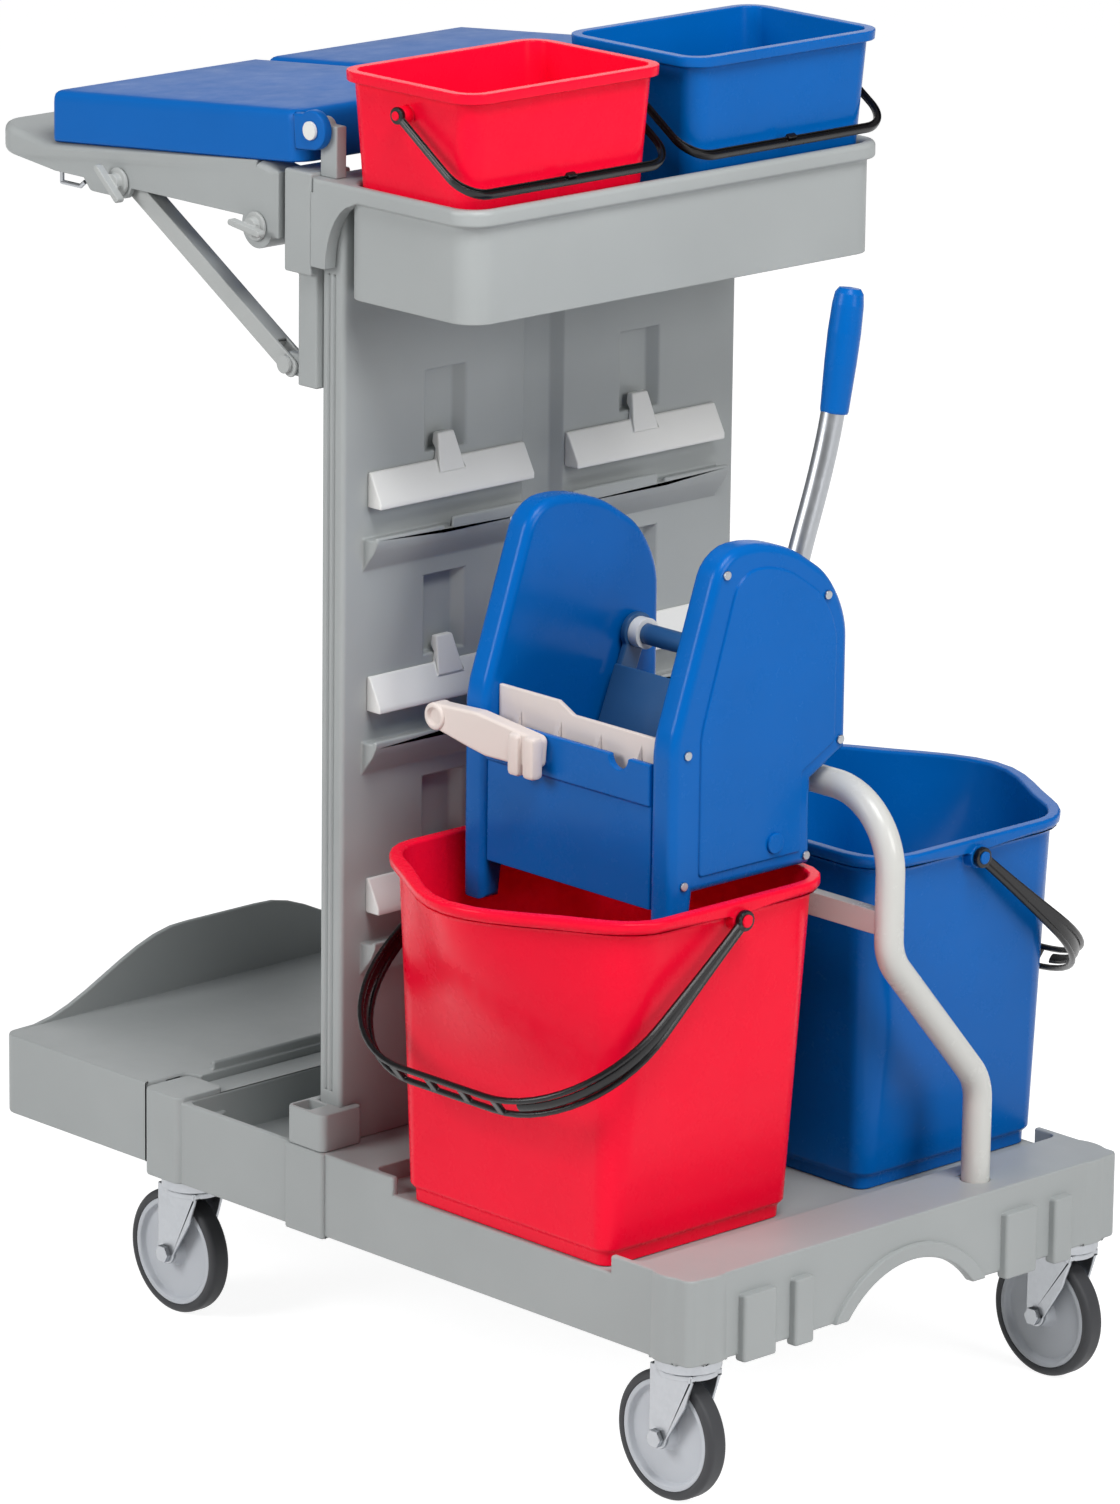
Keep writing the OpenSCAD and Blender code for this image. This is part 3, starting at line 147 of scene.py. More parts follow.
# %% floor
FLOOR_HALF = 16.0
SHADOW_SHARE, GLOW, BOUNCE = 0.40, 0.90, 0.72

plane = bmesh.new()
bmesh.ops.create_grid(plane, x_segments=1, y_segments=1, size=FLOOR_HALF)
floor_mesh = bpy.data.meshes.new("floor")
plane.to_mesh(floor_mesh)
plane.free()
floor = bpy.data.objects.new("floor", floor_mesh)
bpy.context.scene.collection.objects.link(floor)

paint, tree, _ = blank("floor_white")
tree.nodes.clear()
path = add(tree, "ShaderNodeLightPath").outputs
seen = add(tree, "ShaderNodeMath", {0: path["Is Camera Ray"], 1: path["Is Glossy Ray"]},
           operation="MAXIMUM").outputs[0]
seen = add(tree, "ShaderNodeMath", {0: seen, 1: path["Is Transmission Ray"]}, operation="MAXIMUM").outputs[0]
shadowed = add(tree, "ShaderNodeBsdfDiffuse", {"Color": (*[SHADOW_SHARE] * 3, 1)}).outputs[0]
bright = add(tree, "ShaderNodeEmission", {"Color": (1, 1, 1, 1), "Strength": GLOW}).outputs[0]
white_ground = add(tree, "ShaderNodeAddShader", {0: shadowed, 1: bright}).outputs[0]
plain_ground = add(tree, "ShaderNodeBsdfDiffuse", {"Color": (*[BOUNCE] * 3, 1)}).outputs[0]
ground = add(tree, "ShaderNodeMixShader", {0: seen, 1: plain_ground, 2: white_ground}).outputs[0]
add(tree, "ShaderNodeOutputMaterial", {"Surface": ground})
floor_mesh.materials.append(paint)
print("floor", 2 * FLOOR_HALF, "m wide")

# %% world and lamps
FILL = 0.19

world = bpy.data.worlds.new("studio")
world.use_nodes = True
tree = world.node_tree
tree.nodes.clear()
path = add(tree, "ShaderNodeLightPath").outputs
seen = add(tree, "ShaderNodeMath", {0: path["Is Camera Ray"], 1: path["Is Transmission Ray"]},
           operation="MAXIMUM").outputs[0]
strength = add(tree, "ShaderNodeMapRange", {"Value": seen, "To Min": FILL, "To Max": 1.0}).outputs[0]
sky = add(tree, "ShaderNodeBackground", {"Color": (1, 1, 1, 1), "Strength": strength}).outputs[0]
add(tree, "ShaderNodeOutputWorld", {"Surface": sky})
bpy.context.scene.world = world

MIDDLE = mm(60, 0, 480)


def lamp(name, place, size, watts):
    """A soft square lamp that shines at the middle of the cart."""
    light = bpy.data.lights.new(name, "AREA")
    light.size = size
    light.energy = watts
    stand = bpy.data.objects.new(name, light)
    aim = (Vector(place) - MIDDLE).to_track_quat("Z", "Y")
    stand.matrix_world = Matrix.Translation(place) @ aim.to_matrix().to_4x4()
    bpy.context.scene.collection.objects.link(stand)


lamp("lamp_left", (-0.9, -3.3, 2.1), 1.5, 64)
lamp("lamp_right", (3.6, 0.3, 2.0), 1.5, 50)
lamp("lamp_above", (1.7, -0.7, 3.2), 1.4, 70)
lamp("lamp_back", (-2.9, 2.9, 1.9), 2.2, 12)

# %% [markdown]
# ## Finishes
#
# Most of the cart is injection-moulded polypropylene: a fine grain from the steel mould, slow changes of tone
# where the melt flowed, gloss that differs from place to place, and corners rubbed paler by use. One recipe
# with different numbers gives every plastic. The Bevel node rounds the shading of edges that are still sharp,
# and the angle between that normal and the true one shows where an edge is, which is where wear goes.
# The patterns read Object coordinates, so they stay put when a piece moves.

# %% moulded plastic
TONE_SCALE = 6.0
RUB_SCALE = 34.0
EDGE_SEEN = {"From Min": 0.995, "From Max": 0.86}
NOISE_SPAN = {"From Min": 0.3, "From Max": 0.7}


def edge_mask(tree, rounded):
    """A value that is 1 on the edges of a piece and 0 on its flats."""
    true_normal = add(tree, "ShaderNodeNewGeometry").outputs["Normal"]
    same = add(tree, "ShaderNodeVectorMath", {0: rounded, 1: true_normal}, operation="DOT_PRODUCT")
    return add(tree, "ShaderNodeMapRange", {"Value": same.outputs["Value"], **EDGE_SEEN}).outputs[0]


def connect(tree, skin, tint, gloss, fine):
    """Link the colour, the roughness and the normal of a finish to its shader."""
    tree.links.new(tint, skin.inputs["Base Color"])
    tree.links.new(gloss, skin.inputs["Roughness"])
    tree.links.new(fine, skin.inputs["Normal"])


def noise(tree, place, scale, **sockets):
    """The value of a noise pattern at a place."""
    return add(tree, "ShaderNodeTexNoise", {"Vector": place, "Scale": scale, **sockets}).outputs["Fac"]


def moulded(name, colour, rough, shade=0.07, grain=(620.0, 0.00005), edge=0.0012, wear=0.35, pale=1.35,
            gleam=0.4):
    """A finish with flow tones, mould grain, uneven gloss and rubbed edges."""
    material, tree, skin = blank(name)
    place = add(tree, "ShaderNodeTexCoord").outputs["Object"]
    flow = noise(tree, place, TONE_SCALE, Detail=3.0)
    rub = noise(tree, place, RUB_SCALE, Detail=6.0, Roughness=0.7)
    speck = noise(tree, place, grain[0], Detail=2.0)
    dark = [c * (1 - shade) for c in colour[:3]] + [1]
    light = [min(c * (1 + shade), 1) for c in colour[:3]] + [1]
    tone = add(tree, "ShaderNodeMapRange", {"Value": flow, **NOISE_SPAN}).outputs[0]
    base = add(tree, "ShaderNodeMix", {0: tone, 6: dark, 7: light}, data_type="RGBA").outputs[2]
    rounded = add(tree, "ShaderNodeBevel", {"Radius": edge}, samples=4).outputs[0]
    worn = add(tree, "ShaderNodeMath", {0: edge_mask(tree, rounded), 1: rub}, operation="MULTIPLY").outputs[0]
    worn = add(tree, "ShaderNodeMath", {0: worn, 1: wear}, operation="MULTIPLY").outputs[0]
    rubbed = [min(c * pale + 0.02, 1) for c in colour[:3]] + [1]
    tint = add(tree, "ShaderNodeMix", {0: worn, 6: base, 7: rubbed}, data_type="RGBA").outputs[2]
    gloss = add(tree, "ShaderNodeMapRange", {"Value": rub, **NOISE_SPAN, "To Min": rough - 0.05,
                                             "To Max": rough + 0.07}).outputs[0]
    fine = add(tree, "ShaderNodeBump", {"Strength": 0.4, "Distance": grain[1], "Height": speck,
                                        "Normal": rounded}).outputs[0]
    connect(tree, skin, tint, gloss, fine)
    skin.inputs["Specular IOR Level"].default_value = gleam
    return material


BLUE, FINE_GRAIN = screen(0, 96, 178), (500.0, 0.00003)
finishes = {
    "grey_plastic": moulded("grey_plastic", screen(163, 167, 167), 0.42, shade=0.05, grain=(900.0, 0.00008)),
    "strut_plastic": moulded("strut_plastic", screen(176, 179, 178), 0.38, shade=0.05),
    "white_plastic": moulded("white_plastic", screen(228, 228, 226), 0.36, shade=0.03, wear=0.1),
    "blue_plastic": moulded("blue_plastic", BLUE, 0.24, grain=FINE_GRAIN, gleam=0.14),
    "red_plastic": moulded("red_plastic", screen(250, 10, 50), 0.26, shade=0.06, grain=FINE_GRAIN,
                           gleam=0.13),
    "black_plastic": moulded("black_plastic", screen(15, 14, 16), 0.26, shade=0.15, pale=2.2),
    "press_paint": moulded("press_paint", screen(40, 84, 130), 0.35, shade=0.08),
    "tube_paint": moulded("tube_paint", screen(205, 205, 201), 0.24, shade=0.03, grain=(260.0, 0.00003),
                          wear=0.1),
    "wheel_plastic": moulded("wheel_plastic", screen(196, 200, 206), 0.36, shade=0.06),
}
beige = moulded("beige_plastic", screen(224, 212, 206), 0.40, shade=0.04, wear=0.15)
lid_blue = moulded("lid_plastic", BLUE, 0.40, shade=0.05, grain=(500.0, 0.00002), gleam=0.16)
own_finish = {"press_screen": beige, "lid_near": lid_blue, "lid_far": lid_blue}
print("plastics:", len(finishes) + 2)

# %% [markdown]
# Zinc-plated steel is cool, bright and slightly cloudy. The plating grows in small crystals, so a Voronoi
# pattern shifts the tone and the gloss from cell to cell. Rubber is the other extreme: dark, matt and dusty,
# with the dust lying in a soft cloud.

# %% steel and rubber
CRYSTALS, HAZE_SCALE = 320.0, 60.0


def plated(name, colour, rough):
    """Zinc plating with small crystals and a cloudy gloss."""
    material, tree, skin = blank(name)
    place = add(tree, "ShaderNodeTexCoord").outputs["Object"]
    cells = add(tree, "ShaderNodeTexVoronoi", {"Vector": place, "Scale": CRYSTALS}).outputs["Color"]
    cell = add(tree, "ShaderNodeSeparateColor", {0: cells}).outputs[0]
    haze = noise(tree, place, HAZE_SCALE, Detail=4.0)
    mixed = add(tree, "ShaderNodeMath", {0: cell, 1: haze}, operation="MULTIPLY").outputs[0]
    dark = [c * 0.94 for c in colour[:3]] + [1]
    tint = add(tree, "ShaderNodeMix", {0: mixed, 6: colour, 7: dark}, data_type="RGBA").outputs[2]
    gloss = add(tree, "ShaderNodeMapRange", {"Value": mixed, "To Min": rough,
                                             "To Max": rough + 0.1}).outputs[0]
    rounded = add(tree, "ShaderNodeBevel", {"Radius": 0.0008}, samples=4).outputs[0]
    fine = add(tree, "ShaderNodeBump", {"Strength": 0.06, "Distance": 0.00004, "Height": haze,
                                        "Normal": rounded}).outputs[0]
    connect(tree, skin, tint, gloss, fine)
    skin.inputs["Metallic"].default_value = 1.0
    return material


finishes["zinc_steel"] = plated("zinc_steel", screen(180, 183, 187), 0.34)
finishes["tyre_rubber"] = moulded("tyre_rubber", screen(58, 59, 62), 0.55, shade=0.18, grain=(420.0, 0.0001),
                                  wear=0.5, pale=1.6)
print("finishes:", sorted(finishes))

# %% [markdown]
# The record says which finish each solid takes. Every CAD node gets its finish first. The pieces that are
# made later stand for some of them and carry the same finish on. The press screen, the latch and the lids
# have a finish of their own.

# %% finishes on the solids
slot_of = {row["node"]: row["material_slot"] for row in frame["record"]["subparts"]}
body_of = {part: body for body, parts in frame["record"]["behaviour"]["bodies"].items() for part in parts}
for name, solid in frame["nodes"].items():
    solid.data.materials.clear()
    solid.data.materials.append(finishes[slot_of[name]])
for name in ("press_screen", "latch"):
    frame["nodes"][name].data.materials.clear()
    frame["nodes"][name].data.materials.append(beige)
print("finished solids:", len(slot_of))

# %% [markdown]
# ## Round moulded edges
#
# No moulded piece has knife edges, and the small fillets are what catches the light. A solid from CAD arrives
# as loose triangles, so a copy is merged into one skin, its flat triangles are joined into whole faces, and
# the edges that are left between faces are bevelled. Normals are weighted by the size of the faces, so a
# large flat face stays evenly lit beside its fillets. The copy then stands for the solid, which stays hidden
# for the physics.

# %% moulded copies
MERGE = 0.00002
FLAT = math.radians(0.4)


def merged_copy(node):
    """A copy of a solid as one skin: doubles merged, flat triangles joined."""
    skin = bmesh.new()
    skin.from_mesh(frame["nodes"][node].data)
    bmesh.ops.remove_doubles(skin, verts=skin.verts, dist=MERGE)
    bmesh.ops.dissolve_limit(skin, angle_limit=FLAT, verts=skin.verts, edges=skin.edges)
    return skin


def bevel_edges(skin, edges, radius, segments):
    """Bevel the given edges by a radius in millimetres."""
    bmesh.ops.bevel(skin, geom=edges, offset=radius / 1000, offset_type="OFFSET", segments=segments,
                    profile=0.5, affect="EDGES", clamp_overlap=False, loop_slide=True, material=-1)


def round_edges(skin, radius, sharp=30, segments=2, wanted=None):
    """Bevel the edges whose faces meet at more than `sharp` degrees, by a radius in millimetres."""
    limit = math.radians(sharp)
    edges = [e for e in skin.edges if len(e.link_faces) == 2 and e.calc_face_angle(0) > limit]
    if wanted:
        edges = [e for e in edges if wanted(e)]
    bevel_edges(skin, edges, radius, segments)
    return len(edges)


def settle(name, skin, nodes, finish=None, smooth=32):
    """Make an object of a skin, put it on the body of the nodes it stands for, and give it their finish."""
    mesh = bpy.data.meshes.new(name)
    skin.to_mesh(mesh)
    skin.free()
    mesh.shade_smooth()
    mesh.set_sharp_from_angle(angle=math.radians(smooth))
    piece = bpy.data.objects.new(name, mesh)
    bpy.context.scene.collection.objects.link(piece)
    weigh = piece.modifiers.new("flat faces stay flat", "WEIGHTED_NORMAL")
    weigh.weight = 100
    weigh.keep_sharp = True
    mesh.materials.append(finish or finishes[slot_of[nodes[0]]])
    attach(piece, body_of[nodes[0]])
    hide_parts(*nodes)
    return piece


ROUNDING = {
    "base_frame": 2.0, "bag_platform": 2.0, "column_panel": 1.6, "column_feet": 1.5, "tool_clips": 1.2,
    "bag_brackets": 2.0, "lid_hinges": 1.0, "struts": 0.8, "wringer_tub": 1.4, "press_plate": 1.0,
    "press_arms": 1.0, "small_bucket_red": 1.0, "small_bucket_blue": 1.0,
    "lid_near": 2.0, "lid_far": 2.0, "press_screen": 1.0, "wringer_screws": 0.5, "caster_heads": 1.2,
    "pivot_screw_near": 1.0, "pivot_screw_far": 1.0, "lock_screw_near": 1.0, "lock_screw_far": 1.0,
}
for place in ("front_near", "front_far", "rear_near", "rear_far"):
    ROUNDING["fork_" + place] = 1.1
    ROUNDING["wheel_" + place] = 0.8


def is_outer(edge):
    """True for an edge that sticks out, unlike the foot of a wall."""
    return edge.is_convex


for node, radius in ROUNDING.items():
    skin = merged_copy(node)
    count = round_edges(skin, radius, wanted=is_outer if node == "base_frame" else None)
    piece = settle(node + "_moulded", skin, [node], own_finish.get(node))
    print(piece.name, "edges rounded:", count, "faces:", len(piece.data.polygons))

# %% [markdown]
# Some pieces have fat and fine edges at once. The large buckets have a lip that rolls outwards under a soft
# rim, and the top tray has a fat flange at the front and the sides, while the curves under its cheeks are
# crisp. Their edges are chosen by place: between two heights, and for the tray in front of the column.

# %% large buckets
def between(low, high, behind=-1.0):
    """A test for edges between two heights and not wholly behind a place along X, in millimetres."""
    return lambda edge: (all(low / 1000 <= corner.co.z <= high / 1000 for corner in edge.verts)
                         and max(corner.co.x for corner in edge.verts) > behind / 1000)


NEAR, RIM_H, WALL_TOP = 0.4, 10, 12
for node in ("large_bucket_red", "large_bucket_blue"):
    bucket = merged_copy(node)
    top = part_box(node)[1].z * 1000
    under_rim, rim_top = (top - RIM_H - NEAR, top - RIM_H + NEAR), (top - NEAR, top + NEAR)
    for heights, radius, segments in ((under_rim, 5.0, 4), (rim_top, 2.4, 3), ((0, top - WALL_TOP), 1.2, 2)):
        print(node, "edges rounded:", round_edges(bucket, radius, 35, segments, between(*heights)))
    settle(node + "_moulded", bucket, [node])

# %% top tray
COLUMN_SIDE = -25
tray = merged_copy("top_tray")
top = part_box("top_tray")[1].z * 1000
for low, high, radius, segments in ((top - NEAR, top + NEAR, 4.0, 4), (top - 15, top - 12.6, 2.5, 3)):
    wanted = between(low, high, COLUMN_SIDE)
    print("tray edges rounded:", round_edges(tray, radius, segments=segments, wanted=wanted))
settle("top_tray_moulded", tray, ["top_tray"])

# %% [markdown]
# ## The wringer
#
# Each side plate is a thick moulding with edges as round as a finger. Its outline has a few corners with very
# different radii, so the face starts as a plain polygon, every corner is rounded by a vertex bevel of its
# own, the face is extruded to the thickness, and the rims on both sides are bevelled together. The raised
# panel on the outer face is made in the same way and is sunk a little into the plate.

# %% rounded outlines
def lay_outline(skin, corners, place):
    """One flat face from corners (a, b, radius) in millimetres, each corner rounded by a vertex bevel."""
    ring = [skin.verts.new(place(a, b)) for a, b, radius in corners]
    face = skin.faces.new(ring)
    for corner, (a, b, radius) in zip(ring, corners):
        if radius:
            before, after = (edge.other_vert(corner).co - corner.co for edge in corner.link_edges)
            reach = radius / 1000 / math.tan(before.angle(after) / 2)
            bmesh.ops.bevel(skin, geom=[corner], offset=reach, offset_type="OFFSET", profile=0.5,
                            segments=max(3, round(radius / 6)), affect="VERTICES", material=-1)
    return [face for face in skin.faces if all(vert.is_valid for vert in face.verts)]


def only(kind, made):
    """The vertices or the faces among what an operator made."""
    return [item for item in made if isinstance(item, kind)]


def thicken(skin, faces, move):
    """Extrude faces by a vector in millimetres into a closed block."""
    made = bmesh.ops.extrude_face_region(skin, geom=faces)["geom"]
    bmesh.ops.translate(skin, verts=only(bmesh.types.BMVert, made), vec=mm(*move))
    bmesh.ops.recalc_face_normals(skin, faces=skin.faces)


def plate_block(corners, x0, x1, radius, segments=4):
    """A plate with an outline in Y and Z, from x0 to x1, with both rims rounded."""
    skin = bmesh.new()
    faces = lay_outline(skin, corners, lambda y, z: mm(x0, y, z))
    thicken(skin, faces, (x1 - x0, 0, 0))
    rims = [e for e in skin.edges if abs(e.verts[0].co.x - e.verts[1].co.x) < 1e-6]
    bevel_edges(skin, rims, radius, segments)
    return skin


def join_skins(first, *others):
    """Put the blocks of other skins into the first one."""
    for other in others:
        mesh = bpy.data.meshes.new("part")
        other.to_mesh(mesh)
        other.free()
        first.from_mesh(mesh)
        bpy.data.meshes.remove(mesh)
    return first


# %% side plates
SIDE = [(-170, 398, 0), (-152, 398, 0), (-146, 443, 0), (-25, 443, 0), (-25, 508, 0), (10, 526, 0),
        (10, 649, 70), (-62, 697, 100), (-122, 697, 30), (-170, 557.3, 70)]
PANEL = [(-143, 455, 3), (-38, 455, 3), (-38, 516, 4), (-4, 534, 6), (-4, 639, 56), (-64, 679, 70),
         (-106, 679, 24), (-143, 562.4, 50)]
PANEL_SUNK, PANEL_PROUD = 5, 1.6
for node, outer in (("wringer_side_near", 1), ("wringer_side_far", -1)):
    low, high = (corner.x * 1000 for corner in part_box(node))
    outer_face = high if outer > 0 else low
    plate = plate_block(SIDE, low, high, 7.0)
    panel_x = sorted((outer_face - outer * PANEL_SUNK, outer_face + outer * PANEL_PROUD))
    panel = plate_block(PANEL, *panel_x, 1.4, 3)
    piece = settle(node + "_plate", join_skins(plate, panel), [node])
    print(piece.name, "faces:", len(piece.data.polygons))

# %% [markdown]
# The lever is a bent steel tube. A ring of points is pushed along the path one step at a time: each step
# extrudes the ring, turns it to the new direction and moves it on, so the bends come out round.

# %% lever tube
def sweep(points, ring_size, sides=20):
    """A closed tube along points; the ring has two radii in millimetres."""
    skin = bmesh.new()
    ways = [(b - a).normalized() for a, b in zip(points, points[1:])]
    facing = [ways[0]] + [(a + b).normalized() for a, b in zip(ways, ways[1:])] + [ways[-1]]
    turn = Vector((0, 0, 1)).rotation_difference(facing[0]).to_matrix().to_4x4()
    made = bmesh.ops.create_circle(skin, cap_ends=True, segments=sides, radius=1.0)
    bmesh.ops.scale(skin, vec=(ring_size[0] / 1000, ring_size[1] / 1000, 1), verts=made["verts"])
    bmesh.ops.transform(skin, matrix=Matrix.Translation(points[0]) @ turn, verts=made["verts"])
    end, inside = skin.faces[:], []
    for here, there, was, now in zip(points, points[1:], facing, facing[1:]):
        made = bmesh.ops.extrude_face_region(skin, geom=end)["geom"]
        verts = only(bmesh.types.BMVert, made)
        bmesh.ops.rotate(skin, cent=here, matrix=was.rotation_difference(now).to_matrix(), verts=verts)
        bmesh.ops.translate(skin, vec=there - here, verts=verts)
        inside += end
        end = only(bmesh.types.BMFace, made)
    bmesh.ops.delete(skin, geom=inside[1:], context="FACES_ONLY")
    bmesh.ops.recalc_face_normals(skin, faces=skin.faces)
    return skin


def smooth_path(knots, steps=8):
    """Points along a smooth line through knots in millimetres."""
    knots = [mm(*k) for k in knots]
    ends = [knots[0] * 2 - knots[1]] + knots + [knots[-1] * 2 - knots[-2]]
    path = [knots[0]]
    for a, b, c, d in zip(ends, ends[1:], ends[2:], ends[3:]):
        path += interpolate_bezier(b, b + (c - a) / 6, c - (d - b) / 6, c, steps)[1:]
    return path


lever_x = sum(corner.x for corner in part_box("lever_tube")) * 500
LEVER = [(-20, 582), (-10, 625), (0, 664), (21, 724), (33.5, 770), (41, 818)]
tube = sweep(smooth_path([(lever_x, y, z) for y, z in LEVER]), (9.0, 9.0), 24)
boss = bmesh.new()
bmesh.ops.create_cone(boss, cap_ends=True, segments=32, radius1=0.014, radius2=0.014, depth=0.018)
round_edges(boss, 1.5, segments=3)
bmesh.ops.rotate(boss, cent=(0, 0, 0), matrix=Matrix.Rotation(math.pi / 2, 3, "Y"), verts=boss.verts)
bmesh.ops.translate(boss, vec=mm(lever_x, *LEVER[0]), verts=boss.verts)
piece = settle("lever_tube_bent", join_skins(tube, boss), ["lever_tube"])
print(piece.name, "faces:", len(piece.data.polygons))

# %% [markdown]
# The pivots of the press arms end in flush blue caps on the side plates, and the latch turns on a pin with a
# head of its own colour. One rounded copy carries both finishes, told apart by place.

# %% pin caps
cap = merged_copy("wringer_pins")
print("cap edges rounded:", round_edges(cap, 1.2))
pins = settle("wringer_pins_capped", cap, ["wringer_pins"], finishes["blue_plastic"])
pins.data.materials.append(beige)
front_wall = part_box("wringer_tub")[0].y
for face in pins.data.polygons:
    face.material_index = int(face.center.y < front_wall)
print("pin faces in front of the tub:", sum(face.material_index for face in pins.data.polygons))

# %% [markdown]
# ## The bails
#
# A bucket's bail is a plastic strap with a rib along each rim and a thin web between them, like a small
# girder, which keeps it stiff with little material. Half of each rib is made by extruding a small rounded
# face along the arm, spinning it round the bend and extruding it to the middle of the grip. A mirror gives
# the other half. The ribs lean apart towards the grip, where the web is cut away into windows.

# %% bail parts
ARM_STEPS, BEND_STEPS = 6, 14


def strap(half, straight, bend, ring, start=0.0, stop=1.0):
    """Half a bail as a bar in its own XY plane, mirrored to a whole: arm, bend and grip, in millimetres."""
    skin = bmesh.new()
    made = bmesh.ops.create_circle(skin, cap_ends=True, segments=12, radius=1.0)["verts"]
    bmesh.ops.scale(skin, vec=(ring[0] / 1000, ring[1] / 1000, 1), verts=made)
    bmesh.ops.rotate(skin, cent=(0, 0, 0), matrix=Matrix.Rotation(math.pi / 2, 3, "X"), verts=made)
    bmesh.ops.translate(skin, vec=mm(half, -start, 0), verts=made)
    end, inside = skin.faces[:], []
    arm = (straight - start) / ARM_STEPS
    for step in range(ARM_STEPS):
        made = bmesh.ops.extrude_face_region(skin, geom=end)["geom"]
        bmesh.ops.translate(skin, vec=mm(0, -arm, 0), verts=only(bmesh.types.BMVert, made))
        inside += end
        end = only(bmesh.types.BMFace, made)
    inside += end
    made = bmesh.ops.spin(skin, geom=end, cent=mm(half - bend, -straight, 0), axis=(0, 0, 1), dvec=(0, 0, 0),
                          angle=-math.pi / 2 * stop, steps=BEND_STEPS, use_duplicate=False)["geom_last"]
    if stop == 1.0:
        end = only(bmesh.types.BMFace, made)
        made = bmesh.ops.extrude_face_region(skin, geom=end)["geom"]
        inside += end + only(bmesh.types.BMFace, made)
        bmesh.ops.translate(skin, vec=mm(bend - half, 0, 0), verts=only(bmesh.types.BMVert, made))
    bmesh.ops.delete(skin, geom=[f for f in inside[1:] if f.is_valid], context="FACES_ONLY")
    bmesh.ops.mirror(skin, geom=skin.verts[:] + skin.edges[:] + skin.faces[:], axis="X", merge_dist=0.00001)
    bmesh.ops.recalc_face_normals(skin, faces=skin.faces)
    return skin


def spread(skin, side, narrow, wide, reach):
    """Move a rib out from the middle plane of a bail, more towards the grip; distances in millimetres."""
    for vert in skin.verts:
        share = min(max(-vert.co.y * 1000 / reach, 0), 1)
        share = share * share * (3 - 2 * share)
        vert.co.z += side * (narrow + (wide - narrow) * share) / 1000


def pin_eye(half, depth, radius):
    """The round end of both arms, as two discs with soft edges."""
    skin = bmesh.new()
    for side in (-1, 1):
        made = bmesh.ops.create_cone(skin, cap_ends=True, segments=28, radius1=radius / 1000,
                                     radius2=radius / 1000, depth=depth / 1000)["verts"]
        bmesh.ops.rotate(skin, cent=(0, 0, 0), matrix=Matrix.Rotation(math.pi / 2, 3, "Y"), verts=made)
        bmesh.ops.translate(skin, vec=mm(side * half, 0, 0), verts=made)
    round_edges(skin, 1.2, segments=2, sharp=60)
    return skin


def bars(places, size, radius):
    """Small bars with soft edges at given places, in millimetres."""
    skin = bmesh.new()
    for place in places:
        made = bmesh.ops.create_cube(skin, size=0.001)["verts"]
        bmesh.ops.scale(skin, vec=size, verts=made)
        bmesh.ops.translate(skin, vec=mm(*place), verts=made)
    round_edges(skin, radius, segments=2)
    return skin


def hang(skin, node, place, mirrored):
    """Turn a bail from its own plane to its place on a bucket, and mirror it for the far side."""
    bmesh.ops.transform(skin, matrix=place, verts=skin.verts)
    if mirrored:
        bmesh.ops.scale(skin, vec=(1, -1, 1), verts=skin.verts)
    bmesh.ops.recalc_face_normals(skin, faces=skin.faces)
    return settle(node + "_ribbed", skin, [node], smooth=40)


# %% large bails
joints = frame["record"]["behaviour"]["joints"]
hinge_of = {joint["child"]: Vector(joint["pos_m"]) for joint in joints if "pos_m" in joint}
ARM, DEPTH, REACH, BEND = 144.6, 5.0, 206.5, 99.5
DROP = math.radians(39)
POSTS = (-54, -18, 18, 54)
place = Matrix.Translation(hinge_of["large_bail_red"]) @ Matrix.Rotation(DROP, 4, "X")
for node, mirrored in (("large_bail_red", False), ("large_bail_blue", True)):
    ribs = []
    for side in (-1, 1):
        rib = strap(ARM, REACH - BEND, BEND, (2.5, 2.4))
        spread(rib, side, 2.6, 8.0, REACH)
        ribs.append(rib)
    web = strap(ARM, REACH - BEND, BEND, (1.6, 4.2), stop=0.82)
    posts = bars([(x, -REACH, 0) for x in POSTS], (7, 4, 15), 0.8)
    eyes = pin_eye(ARM, DEPTH, 8.0)
    piece = hang(join_skins(*ribs, web, posts, eyes), node, place, mirrored)
    print(piece.name, "faces:", len(piece.data.polygons))

# %% [markdown]
# The bails of the small buckets are the same girder turned on its side: one rib inside and one outside, with
# the web between them facing up, so its gloss shows as a pale line along the grip. A nub marks the middle.

# %% small bails
SMALL_REACH, SMALL_BEND, SMALL_EYE = 89.0, 24.0, 4.0
low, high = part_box("small_bail_red")
SMALL_ARM = (high.y - low.y) * 500 - SMALL_EYE / 2
SMALL_DROP = math.radians(34)
SMALL_ARM_STEP, SMALL_REACH_STEP = 0.9, 1.5
place = (Matrix.Translation(hinge_of["small_bail_red"]) @ Matrix.Rotation(SMALL_DROP, 4, "Y")
         @ Matrix.Rotation(math.pi / 2, 4, "Z"))
for node, mirrored in (("small_bail_red", False), ("small_bail_blue", True)):
    ribs = [strap(SMALL_ARM + out * SMALL_ARM_STEP, SMALL_REACH - SMALL_BEND + out * SMALL_REACH_STEP,
                  SMALL_BEND + out, (0.8, 3.0)) for out in (-1, 1)]
    web = strap(SMALL_ARM, SMALL_REACH - SMALL_BEND, SMALL_BEND, (2.0, 1.0))
    nub = bars([(0, 2.0 - SMALL_REACH, 2.4)], (9, 5, 4.5), 1.2)
    eyes = pin_eye(SMALL_ARM, SMALL_EYE, 6.5)
    piece = hang(join_skins(*ribs, web, nub, eyes), node, place, mirrored)
    print(piece.name, "faces:", len(piece.data.polygons))

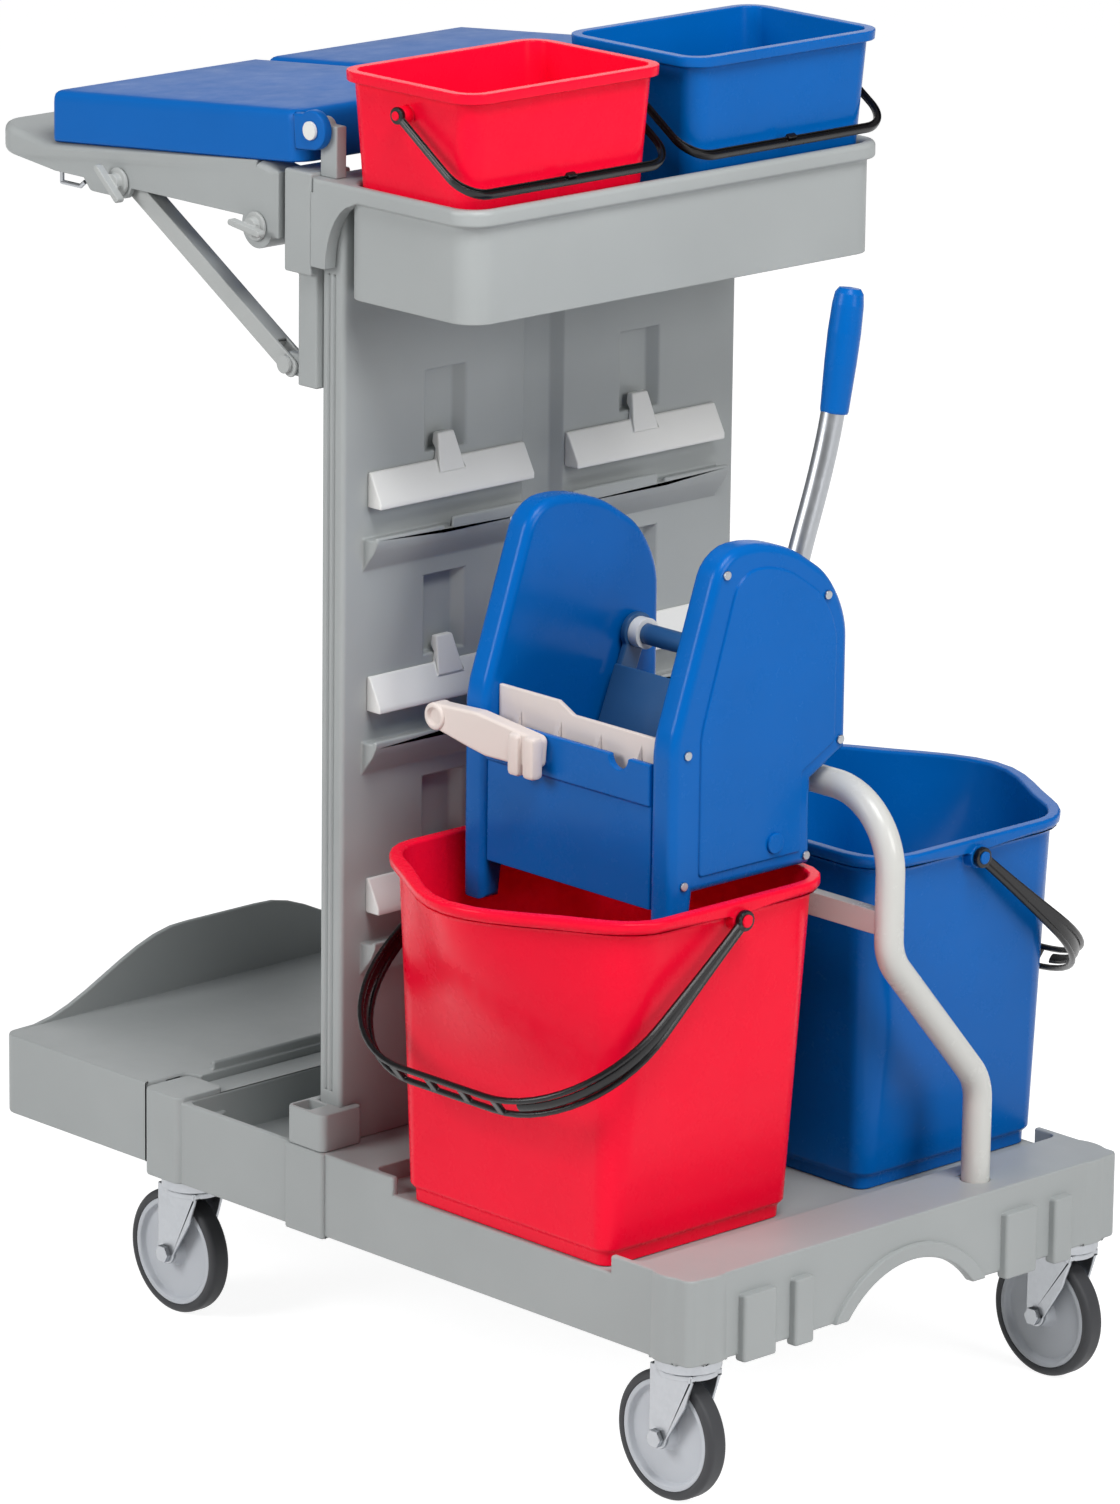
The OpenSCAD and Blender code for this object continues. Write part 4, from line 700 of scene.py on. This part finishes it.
# %% [markdown]
# ## The latch
#
# The latch on the wringer's front is a chunky lever of soft white plastic: a round eye to hang a finger in, a
# bar that widens to the pivot, and two blunt fingers that point down. The bar is an outline that is extruded
# and rounded, the eye is a disc whose face is inset and pushed in, and the fingers are rounded bars.

# %% latch
DISC_SIDES = 32
LATCH_BAR = [(-66, -6, 4), (-36, -12, 12), (-12, -16, 4), (42, -15, 4), (44, 9, 5), (-22, 16, 8),
             (-66, 14, 4)]
FINGERS = (22, 38)


def disc_y(x, z, y0, y1, radius, rounding, dish=0.0):
    """A disc across Y with soft rims, and a dished front face where a depth is given; in millimetres."""
    skin = bmesh.new()
    made = bmesh.ops.create_cone(skin, cap_ends=True, segments=DISC_SIDES, radius1=radius / 1000,
                                 radius2=radius / 1000, depth=(y1 - y0) / 1000)["verts"]
    bmesh.ops.rotate(skin, cent=(0, 0, 0), matrix=Matrix.Rotation(math.pi / 2, 3, "X"), verts=made)
    bmesh.ops.translate(skin, vec=mm(x, (y0 + y1) / 2, z), verts=made)
    if dish:
        caps = [f for f in skin.faces if len(f.verts) == DISC_SIDES]
        front = [min(caps, key=lambda f: f.calc_center_median().y)]
        bmesh.ops.inset_region(skin, faces=front, thickness=radius * 0.32 / 1000, depth=0)
        bmesh.ops.inset_region(skin, faces=front, thickness=radius * 0.18 / 1000, depth=-dish / 1000)
    round_edges(skin, rounding, sharp=60, segments=3)
    return skin


def slab_y(corners, y0, y1, rounding, segments=3):
    """A slab with an outline in X and Z, from y0 to y1, with soft rims."""
    skin = bmesh.new()
    faces = lay_outline(skin, corners, lambda x, z: mm(x, y0, z))
    thicken(skin, faces, (0, y1 - y0, 0))
    rims = [e for e in skin.edges if abs(e.verts[0].co.y - e.verts[1].co.y) < 1e-6]
    bevel_edges(skin, rims, rounding, segments)
    return skin


turn_x, turn_z = hinge_of["latch"].x * 1000, hinge_of["latch"].z * 1000
wall_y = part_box("latch")[1].y * 1000
bar = slab_y([(turn_x + x, turn_z + z, radius) for x, z, radius in LATCH_BAR], wall_y - 13, wall_y, 2.5)
eye = disc_y(turn_x - 66, turn_z + 4, wall_y - 15, wall_y, 10.5, 1.8, dish=2.5)
fingers = [bars([(turn_x + x, wall_y - 11, turn_z - 7)], (13, 12, 33), 4.0) for x in FINGERS]
piece = settle("latch_lever", join_skins(bar, eye, *fingers), ["latch"], beige)
print(piece.name, "faces:", len(piece.data.polygons))

# %% [markdown]
# ## The bag frame
#
# In CAD the frame is two solids, the beams and the handle. To the eye it is one moulding, so both copies go
# into one skin, the faces where they met are taken out, and the top edge is rounded in one run from the
# handle along both beams.

# %% bag frame
OVER_SCREWS, HANDLE_START, RIM_RADIUS = 0.905, 0.025, 6.0


def rim(edge, side):
    """True for an edge between an upright face and one that looks up (side 1) or down (side -1)."""
    slopes = [face.normal.z * side for face in edge.link_faces]
    return max(slopes) > 0.9 and abs(min(slopes)) < 0.3


def top_rim(edge):
    """The upper rim of the frame, well above the screw holes."""
    return rim(edge, 1) and min(corner.co.z for corner in edge.verts) > OVER_SCREWS


def handle_rim(edge):
    """The lower rim of the handle."""
    return rim(edge, -1) and max(corner.co.x for corner in edge.verts) < seam - HANDLE_START


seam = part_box("bag_handle")[1].x
frame_skin = join_skins(merged_copy("bag_frame"), merged_copy("bag_handle"))
met = [f for f in frame_skin.faces if all(abs(v.co.x - seam) < 2 * MERGE for v in f.verts)]
bmesh.ops.delete(frame_skin, geom=met, context="FACES_ONLY")
bmesh.ops.remove_doubles(frame_skin, verts=frame_skin.verts, dist=3 * MERGE)
bmesh.ops.dissolve_limit(frame_skin, angle_limit=FLAT, verts=frame_skin.verts, edges=frame_skin.edges)
for wanted in (top_rim, handle_rim):
    print("frame edges rounded:", round_edges(frame_skin, RIM_RADIUS, segments=4, wanted=wanted))
settle("bag_frame_moulded", frame_skin, ["bag_frame", "bag_handle"])
